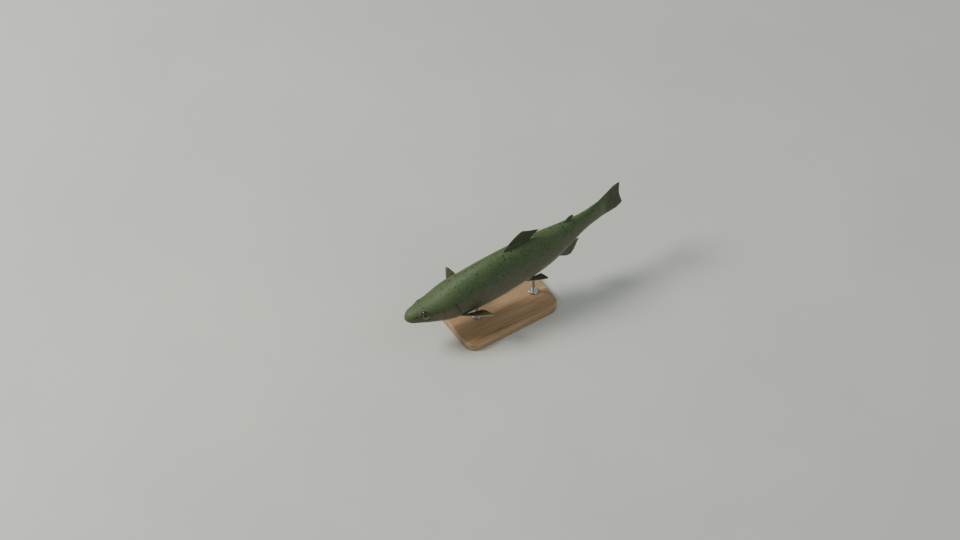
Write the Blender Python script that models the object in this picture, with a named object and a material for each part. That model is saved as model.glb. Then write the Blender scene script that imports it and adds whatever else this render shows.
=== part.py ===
"""A life-size rainbow trout, swimming nose down with its body in a gentle bend, on a display stand.

The fish is drawn straight first: X runs from the snout to the tail, Y to the fish's right side and
Z to its back, with the snout tip at the origin. Every corner then goes through posed(), which bends
the body sideways, tips the nose down and lifts the fish over the stand. The stand's base has its
underside on the floor, centred on the origin of the finished model.
"""

import math
from dataclasses import dataclass

import bmesh
import bpy
import numpy as np
from mathutils import Matrix, Vector

# Lengths in metres, measured from the snout tip along the straight fish.
BODY_LENGTH = 0.311  # to the root of the tail fin
NOSE_ROUND, NOSE_ROUND_SIDES = 0.0085, 0.0106  # how far back the rounding of the snout reaches
SNOUT_TIP = 0.00012  # where the first ring of the snout is
HEAD_INTO_TRUNK = 0.0730  # how far back the middle of the head's rear face reaches
GAP = 0.0003  # between pieces that meet
ROUND = 36  # sides of the body

# The gentle bend to the fish's right, and how it is held.
HEAD_YAW, TAIL_YAW = math.radians(-7.8), math.radians(5.6)
BEND_FROM, BEND_TO = 0.045, 0.335
NOSE_DOWN = math.radians(8.6)
BALANCE, BALANCE_HEIGHT = 0.146, 0.0825  # this point of the axis stands over the middle of the base

# The eye, the jaws and the gill covers.
EYE_AT = (0.0262, 0.0056)  # behind the snout and above the axis
EYE_RADIUS, EYE_DEPTH, EYE_PROUD = 0.0065, 0.0032, 0.0010
MOUTH_FRONT, MOUTH_SLOPE, MOUTH_END = -0.0016, -0.235, 0.0405
JAW_BACK, JAW_BELOW = 0.0490, 0.0360  # where the jaw's rear edge ends, behind the snout and below the axis
BEYOND_SNOUT, JAW_BLOCK = 0.004, 0.062  # how far the block that parts the jaw passes the snout, and its width
MAXILLA_FROM, MAXILLA_TO, MAXILLA_BROAD = 0.0085, 0.0430, 0.0047
MAXILLA_PROUD, MAXILLA_THICK = 0.0004, 0.0013  # above the skin, and below it
COVER_THICK, CHEEK_RADIUS = 0.0024, 0.020  # of the gill cover, and of the cheek it lies on
POCKET_TALL, POCKET_PAST_EDGE = 0.003, 0.0012  # how far a cutter passes the skin and the cover's edge
COVER_TOP, COVER_BOTTOM = math.radians(50), math.radians(157)  # round the side from the back
TRUNK_SPLIT, STALK_SPLIT = 0.1475, 0.2280

# Every fin.
FIN_TAPER, ROOT_ENDS = 1.6, 0.45  # how fast it thins from its root, and how thick the root's ends are
TAIL_ROOT = 0.93  # the tail fin's root, as a share of the stalk's height
TAIL_TAPER, TAIL_EDGES = 2.4, 0.35  # the same two for the tail fin
TAIL_CORNERS = (-0.10, 0.28)  # where the rays that round the corners start and end, from the fin's edge

# The stand.
BASE_SIZE = (0.150, 0.084, 0.012)
BASE_CORNER, BASE_EDGE = 0.016, 0.0018
ROD_RADIUS, COLLAR_RADIUS, COLLAR_HEIGHT, COLLAR_EDGE = 0.0025, 0.0070, 0.0030, 0.0008
ROD_AT = {"front": 0.104, "rear": 0.196}
ROD_INTO_BODY = 0.010


@dataclass(frozen=True)
class Station:
    """The body's reach above, below and beside its axis, this far behind the snout."""

    behind: float
    back: float
    belly: float
    side: float


STATIONS = (
    Station(0.000, 0.0073, 0.0073, 0.0078),
    Station(0.010, 0.0101, 0.0105, 0.0107),
    Station(0.026, 0.0138, 0.0188, 0.0150),
    Station(0.045, 0.0186, 0.0276, 0.0194),
    Station(0.062, 0.0244, 0.0330, 0.0228),
    Station(0.090, 0.0316, 0.0362, 0.0233),
    Station(0.125, 0.0366, 0.0370, 0.0226),
    Station(0.160, 0.0376, 0.0370, 0.0209),
    Station(0.195, 0.0346, 0.0360, 0.0193),
    Station(0.225, 0.0294, 0.0334, 0.0170),
    Station(0.250, 0.0238, 0.0266, 0.0129),
    Station(0.272, 0.0190, 0.0201, 0.0093),
    Station(0.292, 0.0164, 0.0169, 0.0065),
    Station(0.311, 0.0173, 0.0178, 0.0041),
)

# Rear edge of the gill cover: how far round from the back, in degrees, and how far behind the snout.
GILL_EDGE = (
    (0, 0.0585), (45, 0.0606), (75, 0.0682), (100, 0.0715), (130, 0.0672), (158, 0.0535), (180, 0.0468),
)
# Front edge of the gill cover, along the ridge of the cheek.
CHEEK_EDGE = ((0, 0.0490), (50, 0.0492), (100, 0.0515), (140, 0.0478), (180, 0.0430))


@dataclass(frozen=True)
class Fin:
    """A fan of rays. Angles are in degrees from the tailward direction, lengths in metres."""

    name: str
    colour: str
    root: tuple  # front and rear end of the root, behind the snout
    rays: tuple  # length of the first rays and of the last
    angles: tuple  # of the first ray and the last
    lead: float  # how much shorter the very first ray is, as a share
    curl: float = 12.0  # how far each ray bends tailward
    thick: tuple = (0.0024, 0.0006)  # at the root and at the tips
    cup: float = 0.0  # how far the tips bend out of the fin's plane, as a share of the ray
    fade: float = 1.0  # how quickly the rays shorten after the first ones
    tip: float = 0.0  # how far the first and last rays fall short of a round tip, as a share
    cells: tuple = (12, 5)


@dataclass(frozen=True)
class PairedFin(Fin):
    """A fin on a flank: its root lies this far round from the back, and its rays reach out and down."""

    around: tuple = (120.0, 130.0)  # of the root's front and rear end, in degrees
    droop: float = 0.0  # of the rays below the horizontal, in degrees
    side: int = -1  # 1 for the fish's right, -1 for its left


DORSAL = Fin("dorsal_fin", "fin", (0.156, 0.197), (0.0370, 0.0195), (42, 26), 0.60, thick=(0.0026, 0.0006))
ANAL = Fin("anal_fin", "fin", (0.2335, 0.2625), (0.0310, 0.0145), (50, 30), 0.50, thick=(0.0022, 0.0006))
ADIPOSE = Fin(
    "adipose_fin", "fin", (0.2555, 0.2640), (0.0135, 0.0100), (50, 27), 0.10, curl=30.0,
    thick=(0.0028, 0.0012), tip=0.42, cells=(8, 6),
)
CAUDAL = Fin(
    "caudal_fin", "fin", (0.0, 1.0), (0.0480, 0.0425), (13.0, -13.0), 0.36, curl=4.0,
    thick=(0.0066, 0.0006), cup=0.05, fade=1.5, cells=(20, 6),
)
PECTORALS = (
    PairedFin(
        "pectoral_fin_left", "fin", (0.0725, 0.0815), (0.0460, 0.0210), (42, 17), 0.10, 10.0, cup=-0.08,
        around=(122, 133), droop=-14, side=-1,
    ),
    PairedFin(
        "pectoral_fin_right", "fin", (0.0725, 0.0815), (0.0450, 0.0210), (72, 37), 0.10, 10.0, cup=-0.08,
        around=(122, 133), droop=-17, side=1,
    ),
)
PELVICS = tuple(
    PairedFin(
        f"pelvic_fin_{name}", "fin", (0.1765, 0.1840), (0.0325, 0.0170), (31, 9), 0.10, 8.0, cup=-0.06,
        around=(153, 158), droop=droop, side=side,
    )
    for name, side, droop in (("left", -1, 3), ("right", 1, 10))
)

FINISHES = {
    "skin": ((0.18, 0.19, 0.09), 0.42, 0.15),
    "fin": ((0.16, 0.15, 0.08), 0.50, 0.0),
    "eye": ((0.03, 0.03, 0.02), 0.08, 0.0),
    "wood": ((0.50, 0.36, 0.22), 0.45, 0.0),
    "steel": ((0.62, 0.62, 0.60), 0.28, 1.0),
}


def smooth_curve(knots):
    """A function through the knots, (at, value), as a natural cubic spline."""
    at, value = (np.array(column, float) for column in zip(*knots, strict=True))
    step, slope = np.diff(at), np.diff(value) / np.diff(at)
    matrix, right = np.eye(len(at)), np.zeros(len(at))
    for i in range(1, len(at) - 1):
        matrix[i, i - 1 : i + 2] = step[i - 1], 2 * (step[i - 1] + step[i]), step[i]
        right[i] = 6 * (slope[i] - slope[i - 1])
    bend = np.linalg.solve(matrix, right)

    def curve(x):
        x = min(max(x, at[0]), at[-1])
        i = min(int(np.searchsorted(at, x, side="right")) - 1, len(at) - 2)
        a, b = at[i + 1] - x, x - at[i]
        bends = (bend[i] * a**3 + bend[i + 1] * b**3) / (6 * step[i])
        line_a = (value[i] / step[i] - bend[i] * step[i] / 6) * a
        line_b = (value[i + 1] / step[i] - bend[i + 1] * step[i] / 6) * b
        return float(bends + line_a + line_b)

    return curve


back_of = smooth_curve([(s.behind, s.back) for s in STATIONS])
belly_of = smooth_curve([(s.behind, s.belly) for s in STATIONS])
side_of = smooth_curve([(s.behind, s.side) for s in STATIONS])
gill_edge = smooth_curve(GILL_EDGE)
cheek_edge = smooth_curve(CHEEK_EDGE)


def eased(x, start, end):
    """0 before start, 1 after end, and a smooth rise between them."""
    t = min(max((x - start) / (end - start), 0.0), 1.0)
    return t * t * (3 - 2 * t)


def from_back(turn):
    """How far round from the back an angle is, in degrees, on either side."""
    return math.degrees(math.acos(max(-1.0, min(1.0, math.cos(turn)))))


def nose(x, reach):
    """The rounding of the snout, from 0 at its tip to 1 this far back."""
    t = min(max(x / reach, 0.0), 1.0)
    return math.sqrt(max(0.0, 1 - (1 - t) ** 2))


def reaches(x):
    """The body's reach above, below and beside its axis."""
    high = nose(x, NOSE_ROUND)
    return back_of(x) * high, belly_of(x) * high, side_of(x) * nose(x, NOSE_ROUND_SIDES)


def fullness(x):
    """Exponents of the section: the crown is broad and flat, the belly full, and the tail oval."""
    crown = 2.45 - 0.45 * eased(x, 0.03, 0.10)
    belly = 2.10 + 0.15 * eased(x, 0.05, 0.11) - 0.20 * eased(x, 0.17, 0.26)
    return crown, belly


def skin(x, turn, outwards=0.0):
    """The point of the surface this far behind the snout and round from the back to the right."""
    back, belly, side = reaches(x)
    across, up = math.sin(turn), math.cos(turn)
    crown_power, belly_power = fullness(x)
    high, power = (back, crown_power) if up > 0 else (belly, belly_power)
    y = (side + outwards) * math.copysign(abs(across) ** (2 / power), across)
    z = (high + outwards) * math.copysign(abs(up) ** (2 / power), up)
    return Vector((x, y, z))


def flank(x, z, right, outwards=0.0):
    """The point of one flank at this place in the side view, moved outwards."""
    back, belly, side = reaches(x)
    crown_power, belly_power = fullness(x)
    high, power = (back, crown_power) if z > 0 else (belly, belly_power)
    share = min(abs(z) / max(high, 1e-6), 0.999)
    return Vector((x, right * (side * (1 - share**power) ** (1 / power) + outwards), z))


def spine_table():
    """Places along the straight axis, with the bent axis's X, Y and heading at each."""
    at = np.linspace(-0.01, 0.39, 401)
    line = np.clip((at - BEND_FROM) / (BEND_TO - BEND_FROM), 0, 1)
    share = 0.6 * np.array([eased(x, BEND_FROM, BEND_TO) for x in at]) + 0.4 * line
    yaw = HEAD_YAW + (TAIL_YAW - HEAD_YAW) * share
    steps = np.diff(at)
    middle = (yaw[1:] + yaw[:-1]) / 2
    x = np.concatenate([[0], np.cumsum(steps * np.cos(middle))])
    y = np.concatenate([[0], np.cumsum(steps * np.sin(middle))])
    return at, x - np.interp(BALANCE, at, x), y - np.interp(BALANCE, at, y), yaw


SPINE = spine_table()
PLACE = Matrix.Translation((0, 0, BALANCE_HEIGHT)) @ Matrix.Rotation(-NOSE_DOWN, 4, "Y")


def posed(point):
    """Where a point of the straight fish is on the finished model."""
    at, along, across, yaws = SPINE
    x, y, yaw = (float(np.interp(point.x, at, column)) for column in (along, across, yaws))
    return PLACE @ Vector((x - point.y * math.sin(yaw), y + point.y * math.cos(yaw), point.z))


def material(name):
    """The finish with this name, made once."""
    if name not in bpy.data.materials:
        colour, roughness, metallic = FINISHES[name]
        made = bpy.data.materials.new(name)
        made.use_nodes = True
        shader = made.node_tree.nodes["Principled BSDF"]
        shader.inputs["Base Color"].default_value = (*colour, 1)
        shader.inputs["Roughness"].default_value = roughness
        shader.inputs["Metallic"].default_value = metallic
    return bpy.data.materials[name]


def finished(name, mesh, finish, sharp=None):
    """The bmesh as an object, facing out and smooth but for edges over the sharp angle."""
    bmesh.ops.remove_doubles(mesh, verts=mesh.verts, dist=1e-6)
    bmesh.ops.recalc_face_normals(mesh, faces=mesh.faces)
    data = bpy.data.meshes.new(name)
    mesh.to_mesh(data)
    mesh.free()
    data.shade_smooth()
    data.set_sharp_from_angle(angle=math.radians(sharp or 40))
    data.materials.append(material(finish))
    made = bpy.data.objects.new(name, data)
    bpy.context.scene.collection.objects.link(made)
    return made


def helper(made):
    """Marks an object as a cutter, which isn't part of the model."""
    made.hide_render = True
    made.display_type = "WIRE"
    return made


def cut(made, cutter, operation="DIFFERENCE"):
    """Adds a live Boolean with this cutter."""
    boolean = made.modifiers.new(cutter.name, "BOOLEAN")
    boolean.object = cutter
    boolean.operation = operation
    return made


def length_of_body(name, front, rear, middles, rings, finish="skin", crowd=1.0, outwards=0.0):
    """A length of the body between two edges, each a distance behind the snout for each angle round."""
    mesh = bmesh.new()
    bmesh.ops.create_cone(mesh, cap_ends=True, cap_tris=True, segments=ROUND, radius1=1, radius2=1, depth=1)
    lengthwise = [e for e in mesh.edges if abs(e.verts[0].co.z - e.verts[1].co.z) > 0.5]
    bmesh.ops.subdivide_edges(mesh, edges=lengthwise, cuts=rings - 1, use_grid_fill=True)
    for corner in mesh.verts:
        along = (corner.co.z + 0.5) ** crowd
        if math.hypot(corner.co.x, corner.co.y) < 0.5:
            corner.co = posed(Vector((middles[0] + (middles[1] - middles[0]) * along, 0, 0)))
            continue
        turn = math.atan2(corner.co.x, corner.co.y)
        x = front(turn) + (rear(turn) - front(turn)) * along
        corner.co = posed(skin(x, turn, outwards))
    return finished(name, mesh, finish)


def slab(name, cells, place, finish="skin"):
    """A closed slab of two grids, its corners placed by u and v, both 0 to 1, and layer 0 or 1."""
    mesh = bmesh.new()
    bmesh.ops.create_grid(mesh, x_segments=cells[0], y_segments=cells[1], size=0.5)
    made = bmesh.ops.extrude_face_region(mesh, geom=mesh.faces[:], use_keep_orig=True)
    layer = [g for g in made["geom"] if isinstance(g, bmesh.types.BMVert)]
    bmesh.ops.translate(mesh, verts=layer, vec=(0, 0, 1))
    for corner in mesh.verts:
        corner.co = posed(place(corner.co.x + 0.5, corner.co.y + 0.5, corner.co.z))
    return finished(name, mesh, finish)


def block(name, outline, width, finish="skin"):
    """A prism across the fish: an outline in its side view, this wide."""
    mesh = bmesh.new()
    corners = [mesh.verts.new((x, -width / 2, z)) for x, z in outline]
    side = mesh.faces.new(corners)
    made = bmesh.ops.extrude_face_region(mesh, geom=[side], use_keep_orig=True)
    far = [g for g in made["geom"] if isinstance(g, bmesh.types.BMVert)]
    bmesh.ops.translate(mesh, verts=far, vec=(0, width, 0))
    for corner in mesh.verts:
        corner.co = posed(corner.co)
    return finished(name, mesh, finish)


def gill_cover(name, right, margin, outwards, deep):
    """A gill cover's plate, or with a margin its pocket in the head."""

    def place(u, v, layer):
        more = margin / CHEEK_RADIUS
        turn = COVER_TOP - more + (COVER_BOTTOM - COVER_TOP + 2 * more) * v
        front = cheek_edge(from_back(turn)) - margin
        rear = gill_edge(from_back(turn)) - GAP / 2 + (POCKET_PAST_EDGE if margin else 0)
        return skin(front + (rear - front) * u, right * turn, outwards - (outwards + deep) * layer)

    return slab(name, (5, 12), place)


def maxilla(name, right, margin, outwards, deep):
    """The paddle of the upper jaw along one side of the mouth, or with a margin its pocket."""

    def place(u, v, layer):
        x = MAXILLA_FROM - margin + (MAXILLA_TO - MAXILLA_FROM + 2 * margin) * u
        broad = MAXILLA_BROAD * (0.38 + 0.62 * eased(u, 0.0, 0.75))
        broad *= math.sqrt(max(0.0, 1 - eased(u, 0.80, 1.06) ** 2))
        low = MOUTH_FRONT + MOUTH_SLOPE * x + GAP - margin + 0.10 * broad * eased(u, 0.6, 1.0)
        z = low + (broad + 2 * margin) * v
        return flank(x, z, right, outwards - (outwards + deep) * layer)

    return slab(name, (12, 3), place)


def eye(name, right, margin):
    """The eyeball, flattened and facing out and a little forward and up, or with a margin its socket."""
    mesh = bmesh.new()
    bmesh.ops.create_uvsphere(mesh, u_segments=18, v_segments=10, radius=1)
    x, z = EYE_AT
    here = flank(x, z, right)
    ahead = flank(x - EYE_DEPTH, z, right) - flank(x + EYE_DEPTH, z, right)
    upward = flank(x, z + EYE_DEPTH, right) - flank(x, z - EYE_DEPTH, right)
    outward = ahead.cross(upward).normalized() * right
    if outward.y * right < 0:
        outward.negate()
    middle = here - outward * (EYE_DEPTH - EYE_PROUD)
    size = Matrix.Diagonal((EYE_RADIUS + margin, EYE_RADIUS + margin, EYE_DEPTH + margin, 1))
    turn = outward.to_track_quat("Z", "Y").to_matrix().to_4x4()
    bmesh.ops.transform(mesh, matrix=Matrix.Translation(middle) @ turn @ size, verts=mesh.verts)
    for corner in mesh.verts:
        corner.co = posed(corner.co)
    return finished(name, mesh, "eye", sharp=80)


def level(x):
    """An edge straight round the body, this far behind the snout."""
    return lambda turn: x


def head_edge(turn):
    """Where the head ends, at an angle round the body."""
    return gill_edge(from_back(turn)) - GAP / 2


def trunk_edge(turn):
    """Where the trunk starts, at an angle round the body."""
    return gill_edge(from_back(turn)) + GAP / 2


def head_and_jaws():
    """The head, with the lower jaw, the maxillae, the gill covers and the eyes let into it."""
    ends = (0.0, HEAD_INTO_TRUNK - GAP / 2)
    head = length_of_body("head", level(SNOUT_TIP), head_edge, ends, 19, crowd=1.5)
    jaw = length_of_body("lower_jaw", level(SNOUT_TIP), head_edge, ends, 19, crowd=1.5)

    def jaw_outline(grow):
        hinge = MOUTH_FRONT + MOUTH_SLOPE * MOUTH_END
        return (
            (-BEYOND_SNOUT, MOUTH_FRONT - BEYOND_SNOUT * MOUTH_SLOPE + grow),
            (MOUTH_END + grow, hinge + grow),
            (JAW_BACK + grow, -JAW_BELOW),
            (-BEYOND_SNOUT, -JAW_BELOW),
        )

    cut(jaw, helper(block("jaw_shape", jaw_outline(0.0), JAW_BLOCK)), "INTERSECT")
    cut(head, helper(block("jaw_pocket", jaw_outline(GAP), JAW_BLOCK)))
    for name, right in (("left", -1), ("right", 1)):
        eye(f"eye_{name}", right, 0.0)
        cut(head, helper(eye(f"eye_socket_{name}", right, GAP)))
        gill_cover(f"gill_cover_{name}", right, 0.0, 0.0, COVER_THICK)
        cut(head, helper(gill_cover(f"gill_pocket_{name}", right, GAP, POCKET_TALL, COVER_THICK + GAP)))
        maxilla(f"upper_jaw_{name}", right, 0.0, MAXILLA_PROUD, MAXILLA_THICK)
        cut(head, helper(maxilla(f"maxilla_pocket_{name}", right, GAP, POCKET_TALL, MAXILLA_THICK + GAP)))


def trunk_and_tail():
    """The lengths of the body behind the head, parted by thin cuts."""
    front_end, rear_start = TRUNK_SPLIT - GAP / 2, TRUNK_SPLIT + GAP / 2
    rear_end, stalk_start = STALK_SPLIT - GAP / 2, STALK_SPLIT + GAP / 2
    length_of_body("trunk_front", trunk_edge, level(front_end), (HEAD_INTO_TRUNK + GAP / 2, front_end), 8)
    length_of_body("trunk_rear", level(rear_start), level(rear_end), (rear_start, rear_end), 8)
    length_of_body("tail_stalk", level(stalk_start), level(BODY_LENGTH), (stalk_start, BODY_LENGTH), 9)


def ray_length(fin, u):
    """The length of the ray at u, 0 for the first and 1 for the last."""
    first, last = fin.rays
    start = 1 - fin.lead * (1 - eased(u, -0.10, 0.16)) ** 1.5
    rounded = 1 - fin.tip * abs(2 * u - 1) ** 2.5
    return (last + (first - last) * (1 - u) ** fin.fade) * start * rounded


def root_fullness(u):
    """How thick a fin's root is at u, as a share: slim at both ends and full between them."""
    return ROOT_ENDS + (1 - ROOT_ENDS) * math.sqrt(math.sin(math.pi * min(max(u, 0.03), 0.97)))


def fan(fin, u, v, layer, root, tailward, outward, across):
    """A corner of a fin: v runs along the ray at u, from its root, and layer picks the fin's face."""
    angle = math.radians(fin.angles[0] + (fin.angles[1] - fin.angles[0]) * u - fin.curl * v / 2)
    ray = tailward * math.cos(angle) + outward * math.sin(angle)
    length = ray_length(fin, u) * v
    thick = fin.thick[1] + (fin.thick[0] - fin.thick[1]) * (1 - v) ** FIN_TAPER
    thick *= root_fullness(u) if v < 0.5 else 1
    return root + ray * length + across * (fin.cup * length * v + thick * (layer - 0.5))


def median_fin(fin, up):
    """A fin on the back, up = 1, or on the belly, up = -1."""

    def place(u, v, layer):
        x = fin.root[0] + (fin.root[1] - fin.root[0]) * u
        ridge = back_of(x) if up > 0 else -belly_of(x)
        root = Vector((x, 0, ridge + up * GAP))
        return fan(fin, u, v, layer, root, Vector((1, 0, 0)), Vector((0, 0, up)), Vector((0, 1, 0)))

    return slab(fin.name, fin.cells, place, fin.colour)


def tail_fin(fin):
    """The forked fin on the end of the stalk: both lobes mirror about the middle ray."""
    top, bottom = TAIL_ROOT * back_of(BODY_LENGTH), -TAIL_ROOT * belly_of(BODY_LENGTH)

    def place(u, v, layer):
        from_edge = 1 - abs(2 * u - 1)
        root = Vector((BODY_LENGTH + GAP, 0, top + (bottom - top) * u))
        angle = math.radians(fin.angles[0] + (fin.angles[1] - fin.angles[0]) * u) * (1 - fin.curl / 100 * v)
        short = 1 - fin.lead * (1 - eased(from_edge, *TAIL_CORNERS)) ** 1.5
        length = (fin.rays[1] + (fin.rays[0] - fin.rays[1]) * (1 - from_edge) ** fin.fade) * short * v
        thick = fin.thick[1] + (fin.thick[0] - fin.thick[1]) * (1 - v) ** TAIL_TAPER
        thick *= TAIL_EDGES + (1 - TAIL_EDGES) * math.sqrt(max(from_edge, 0.0)) if v < 0.5 else 1
        sway = fin.cup * length * v + thick * (layer - 0.5)
        return root + Vector((math.cos(angle) * length, sway, math.sin(angle) * length))

    return slab(fin.name, fin.cells, place, fin.colour)


def paired_fin(fin):
    """A fin whose root lies on a flank."""
    droop = math.radians(fin.droop)
    outward = Vector((0, fin.side * math.cos(droop), -math.sin(droop)))
    tailward = Vector((1, 0, 0))
    across = tailward.cross(outward) * fin.side

    def place(u, v, layer):
        x = fin.root[0] + (fin.root[1] - fin.root[0]) * u
        turn = math.radians(fin.around[0] + (fin.around[1] - fin.around[0]) * u)
        surface = skin(x, fin.side * turn, GAP)
        blade = fan(fin, u, v, layer, surface, tailward, outward, across)
        girth = math.hypot(surface.y, surface.z)
        half = (0.5 - layer) * fin.thick[0] * root_fullness(u)
        foot = skin(x, fin.side * (turn + half / girth), GAP)
        return foot.lerp(blade, eased(v, 0.0, 0.2))

    return slab(fin.name, fin.cells, place, fin.colour)


def display_stand():
    """A wooden base with rounded corners, and two steel rods in collars that reach up to the belly."""
    mesh = bmesh.new()
    bmesh.ops.create_cube(mesh, size=1)
    bmesh.ops.scale(mesh, vec=BASE_SIZE, verts=mesh.verts)
    bmesh.ops.translate(mesh, vec=(0, 0, BASE_SIZE[2] / 2), verts=mesh.verts)
    uprights = [e for e in mesh.edges if abs(e.verts[0].co.z - e.verts[1].co.z) > BASE_SIZE[2] / 2]
    bmesh.ops.bevel(mesh, geom=uprights, offset=BASE_CORNER, segments=5, profile=0.5, affect="EDGES")
    rim = [e for e in mesh.edges if min(v.co.z for v in e.verts) > BASE_SIZE[2] * 0.99]
    bmesh.ops.bevel(mesh, geom=rim, offset=BASE_EDGE, segments=2, profile=0.5, affect="EDGES")
    finished("stand_base", mesh, "wood", sharp=30)
    whole = helper(
        length_of_body("body_clearance", level(0.02), level(0.30), (0.02, 0.30), 26, outwards=GAP)
    )
    for name, behind in ROD_AT.items():
        foot = posed(Vector((behind, 0, -belly_of(behind))))
        for piece, radius, low, high in (
            (f"stand_collar_{name}", COLLAR_RADIUS, BASE_SIZE[2] + GAP, BASE_SIZE[2] + GAP + COLLAR_HEIGHT),
            (f"stand_rod_{name}", ROD_RADIUS, BASE_SIZE[2] + COLLAR_HEIGHT + 2 * GAP, foot.z + ROD_INTO_BODY),
        ):
            mesh = bmesh.new()
            bmesh.ops.create_cone(
                mesh, cap_ends=True, segments=20, radius1=radius, radius2=radius, depth=high - low
            )
            bmesh.ops.translate(mesh, vec=(foot.x, foot.y, (low + high) / 2), verts=mesh.verts)
            if radius == COLLAR_RADIUS:
                upper = [e for e in mesh.edges if min(v.co.z for v in e.verts) > high - 1e-5]
                bmesh.ops.bevel(mesh, geom=upper, offset=COLLAR_EDGE, segments=2, profile=0.5, affect="EDGES")
            made = finished(piece, mesh, "steel", sharp=35)
            if radius == ROD_RADIUS:
                cut(made, whole)


def main():
    for thing in list(bpy.data.objects):
        bpy.data.objects.remove(thing)
    head_and_jaws()
    trunk_and_tail()
    median_fin(DORSAL, 1)
    median_fin(ADIPOSE, 1)
    median_fin(ANAL, -1)
    tail_fin(CAUDAL)
    for fin in PECTORALS + PELVICS:
        paired_fin(fin)
    display_stand()


main()
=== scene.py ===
"""A life-size display model of a rainbow trout, swimming nose down on two steel rods over a wooden base.

The fish is drawn straight first, as its solids are: X runs from the snout to the tail, Y to the fish's
right and Z to its back, with the snout tip at the origin. TroutForm.posed() then bends it, tips its
nose down and lifts it over the base. One hide holds the head, the trunk and all the fins. Four coats of
scale plates lie on it, row upon row, and each eye is a piece of its own. Lengths are in metres.
"""

from __future__ import annotations

import logging
import math
from dataclasses import dataclass, field
from enum import Enum
from functools import cached_property
from typing import Sequence

import bmesh
import bpy
import numpy as np
from bmesh.types import BMEdge, BMesh, BMVert
from bpy.types import ID, Material, Mesh, Node, NodeSocket, Object
from mathutils import Matrix, Vector
from numpy import ndarray as Array

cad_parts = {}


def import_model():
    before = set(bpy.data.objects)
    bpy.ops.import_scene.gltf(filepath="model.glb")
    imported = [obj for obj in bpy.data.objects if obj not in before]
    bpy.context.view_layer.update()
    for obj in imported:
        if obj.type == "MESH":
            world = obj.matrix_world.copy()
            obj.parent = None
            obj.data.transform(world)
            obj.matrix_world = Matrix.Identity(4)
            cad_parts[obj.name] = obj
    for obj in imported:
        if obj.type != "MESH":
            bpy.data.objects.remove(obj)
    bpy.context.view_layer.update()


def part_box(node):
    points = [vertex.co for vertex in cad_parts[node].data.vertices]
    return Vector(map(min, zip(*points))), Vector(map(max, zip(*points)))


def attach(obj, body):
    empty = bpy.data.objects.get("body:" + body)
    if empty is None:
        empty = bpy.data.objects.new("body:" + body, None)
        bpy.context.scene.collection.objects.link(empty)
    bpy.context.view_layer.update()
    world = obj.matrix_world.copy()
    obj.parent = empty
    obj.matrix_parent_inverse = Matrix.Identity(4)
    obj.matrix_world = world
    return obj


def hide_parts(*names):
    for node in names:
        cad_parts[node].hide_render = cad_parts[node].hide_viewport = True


LOG = logging.getLogger("trout")
BODY = "root"
MM = 0.001
TINY = 1e-6
BAKE_MAP = "OFBake"


class Side(Enum):
    """The two flanks, by the sign of Y."""

    LEFT = -1
    RIGHT = 1

    @property
    def word(self) -> str:
        """The side's name in lower case."""
        return self.name.lower()


class FinKind(Enum):
    """What a fin is coloured like: the spotted ones of the back and tail, or the plain lower ones."""

    SPOTTED = 0.0
    PLAIN = 1.0


# Curves and shares
# -----------------


def eased(x: Array | float, start: float, end: float) -> Array:
    """A smooth rise.

    Args:
        x: Where to read it.
        start: Where it leaves 0.
        end: Where it reaches 1.

    Returns:
        Values from 0 to 1.
    """
    t = np.clip((np.asarray(x, float) - start) / (end - start), 0.0, 1.0)
    return t * t * (3 - 2 * t)


def bump_at(x: Array, middle: float | Array, width: float) -> Array:
    """A rounded bump of height 1 at its middle.

    Args:
        x: Where to read it.
        middle: Where it is highest.
        width: Distance at which it is down to about a third.

    Returns:
        Values from 0 to 1.
    """
    return np.exp(-(((x - middle) / width) ** 2))


class SmoothCurve:
    """A natural cubic spline through a few knots."""

    def __init__(self, knots: Sequence[tuple[float, float]]) -> None:
        """Fits the spline.

        Args:
            knots: Pairs of place and value, in order of place.
        """
        self.at, self.value = (np.array(column, float) for column in zip(*knots, strict=True))
        self.step = np.diff(self.at)
        slope = np.diff(self.value) / self.step
        matrix, right = np.eye(len(self.at)), np.zeros(len(self.at))
        for i in range(1, len(self.at) - 1):
            matrix[i, i - 1 : i + 2] = self.step[i - 1], 2 * (self.step[i - 1] + self.step[i]), self.step[i]
            right[i] = 6 * (slope[i] - slope[i - 1])
        self.bend = np.linalg.solve(matrix, right)

    def __call__(self, x: Array | float) -> Array:
        """The curve's value at each place, held level past its ends.

        Args:
            x: The places.

        Returns:
            The values.
        """
        x = np.clip(np.asarray(x, float), self.at[0], self.at[-1])
        i = np.clip(np.searchsorted(self.at, x, side="right") - 1, 0, len(self.at) - 2)
        step, a, b = self.step[i], self.at[i + 1] - x, x - self.at[i]
        bends = (self.bend[i] * a**3 + self.bend[i + 1] * b**3) / (6 * step)
        lines = (self.value[i] / step - self.bend[i] * step / 6) * a
        return bends + lines + (self.value[i + 1] / step - self.bend[i + 1] * step / 6) * b


@dataclass(frozen=True)
class Chart:
    """A table over even rows and columns, read between its entries."""

    rows: tuple[float, float]
    columns: tuple[float, float]
    table: Array

    def __call__(self, row: Array, column: Array) -> Array:
        """The table's value at each row and column.

        Args:
            row: Where along the rows.
            column: Where along the columns.

        Returns:
            The values.
        """
        steps = [
            np.clip((np.asarray(value, float) - ends[0]) / (ends[1] - ends[0]), 0, 1) * (size - 1)
            for value, ends, size in zip((row, column), (self.rows, self.columns), self.table.shape)
        ]
        r, c = (np.minimum(step.astype(int), size - 2) for step, size in zip(steps, self.table.shape))
        a, b = steps[0] - r, steps[1] - c
        upper = self.table[r, c] * (1 - b) + self.table[r, c + 1] * b
        return upper * (1 - a) + (self.table[r + 1, c] * (1 - b) + self.table[r + 1, c + 1] * b) * a


# The form of the fish, the same as its solids
# --------------------------------------------


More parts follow.
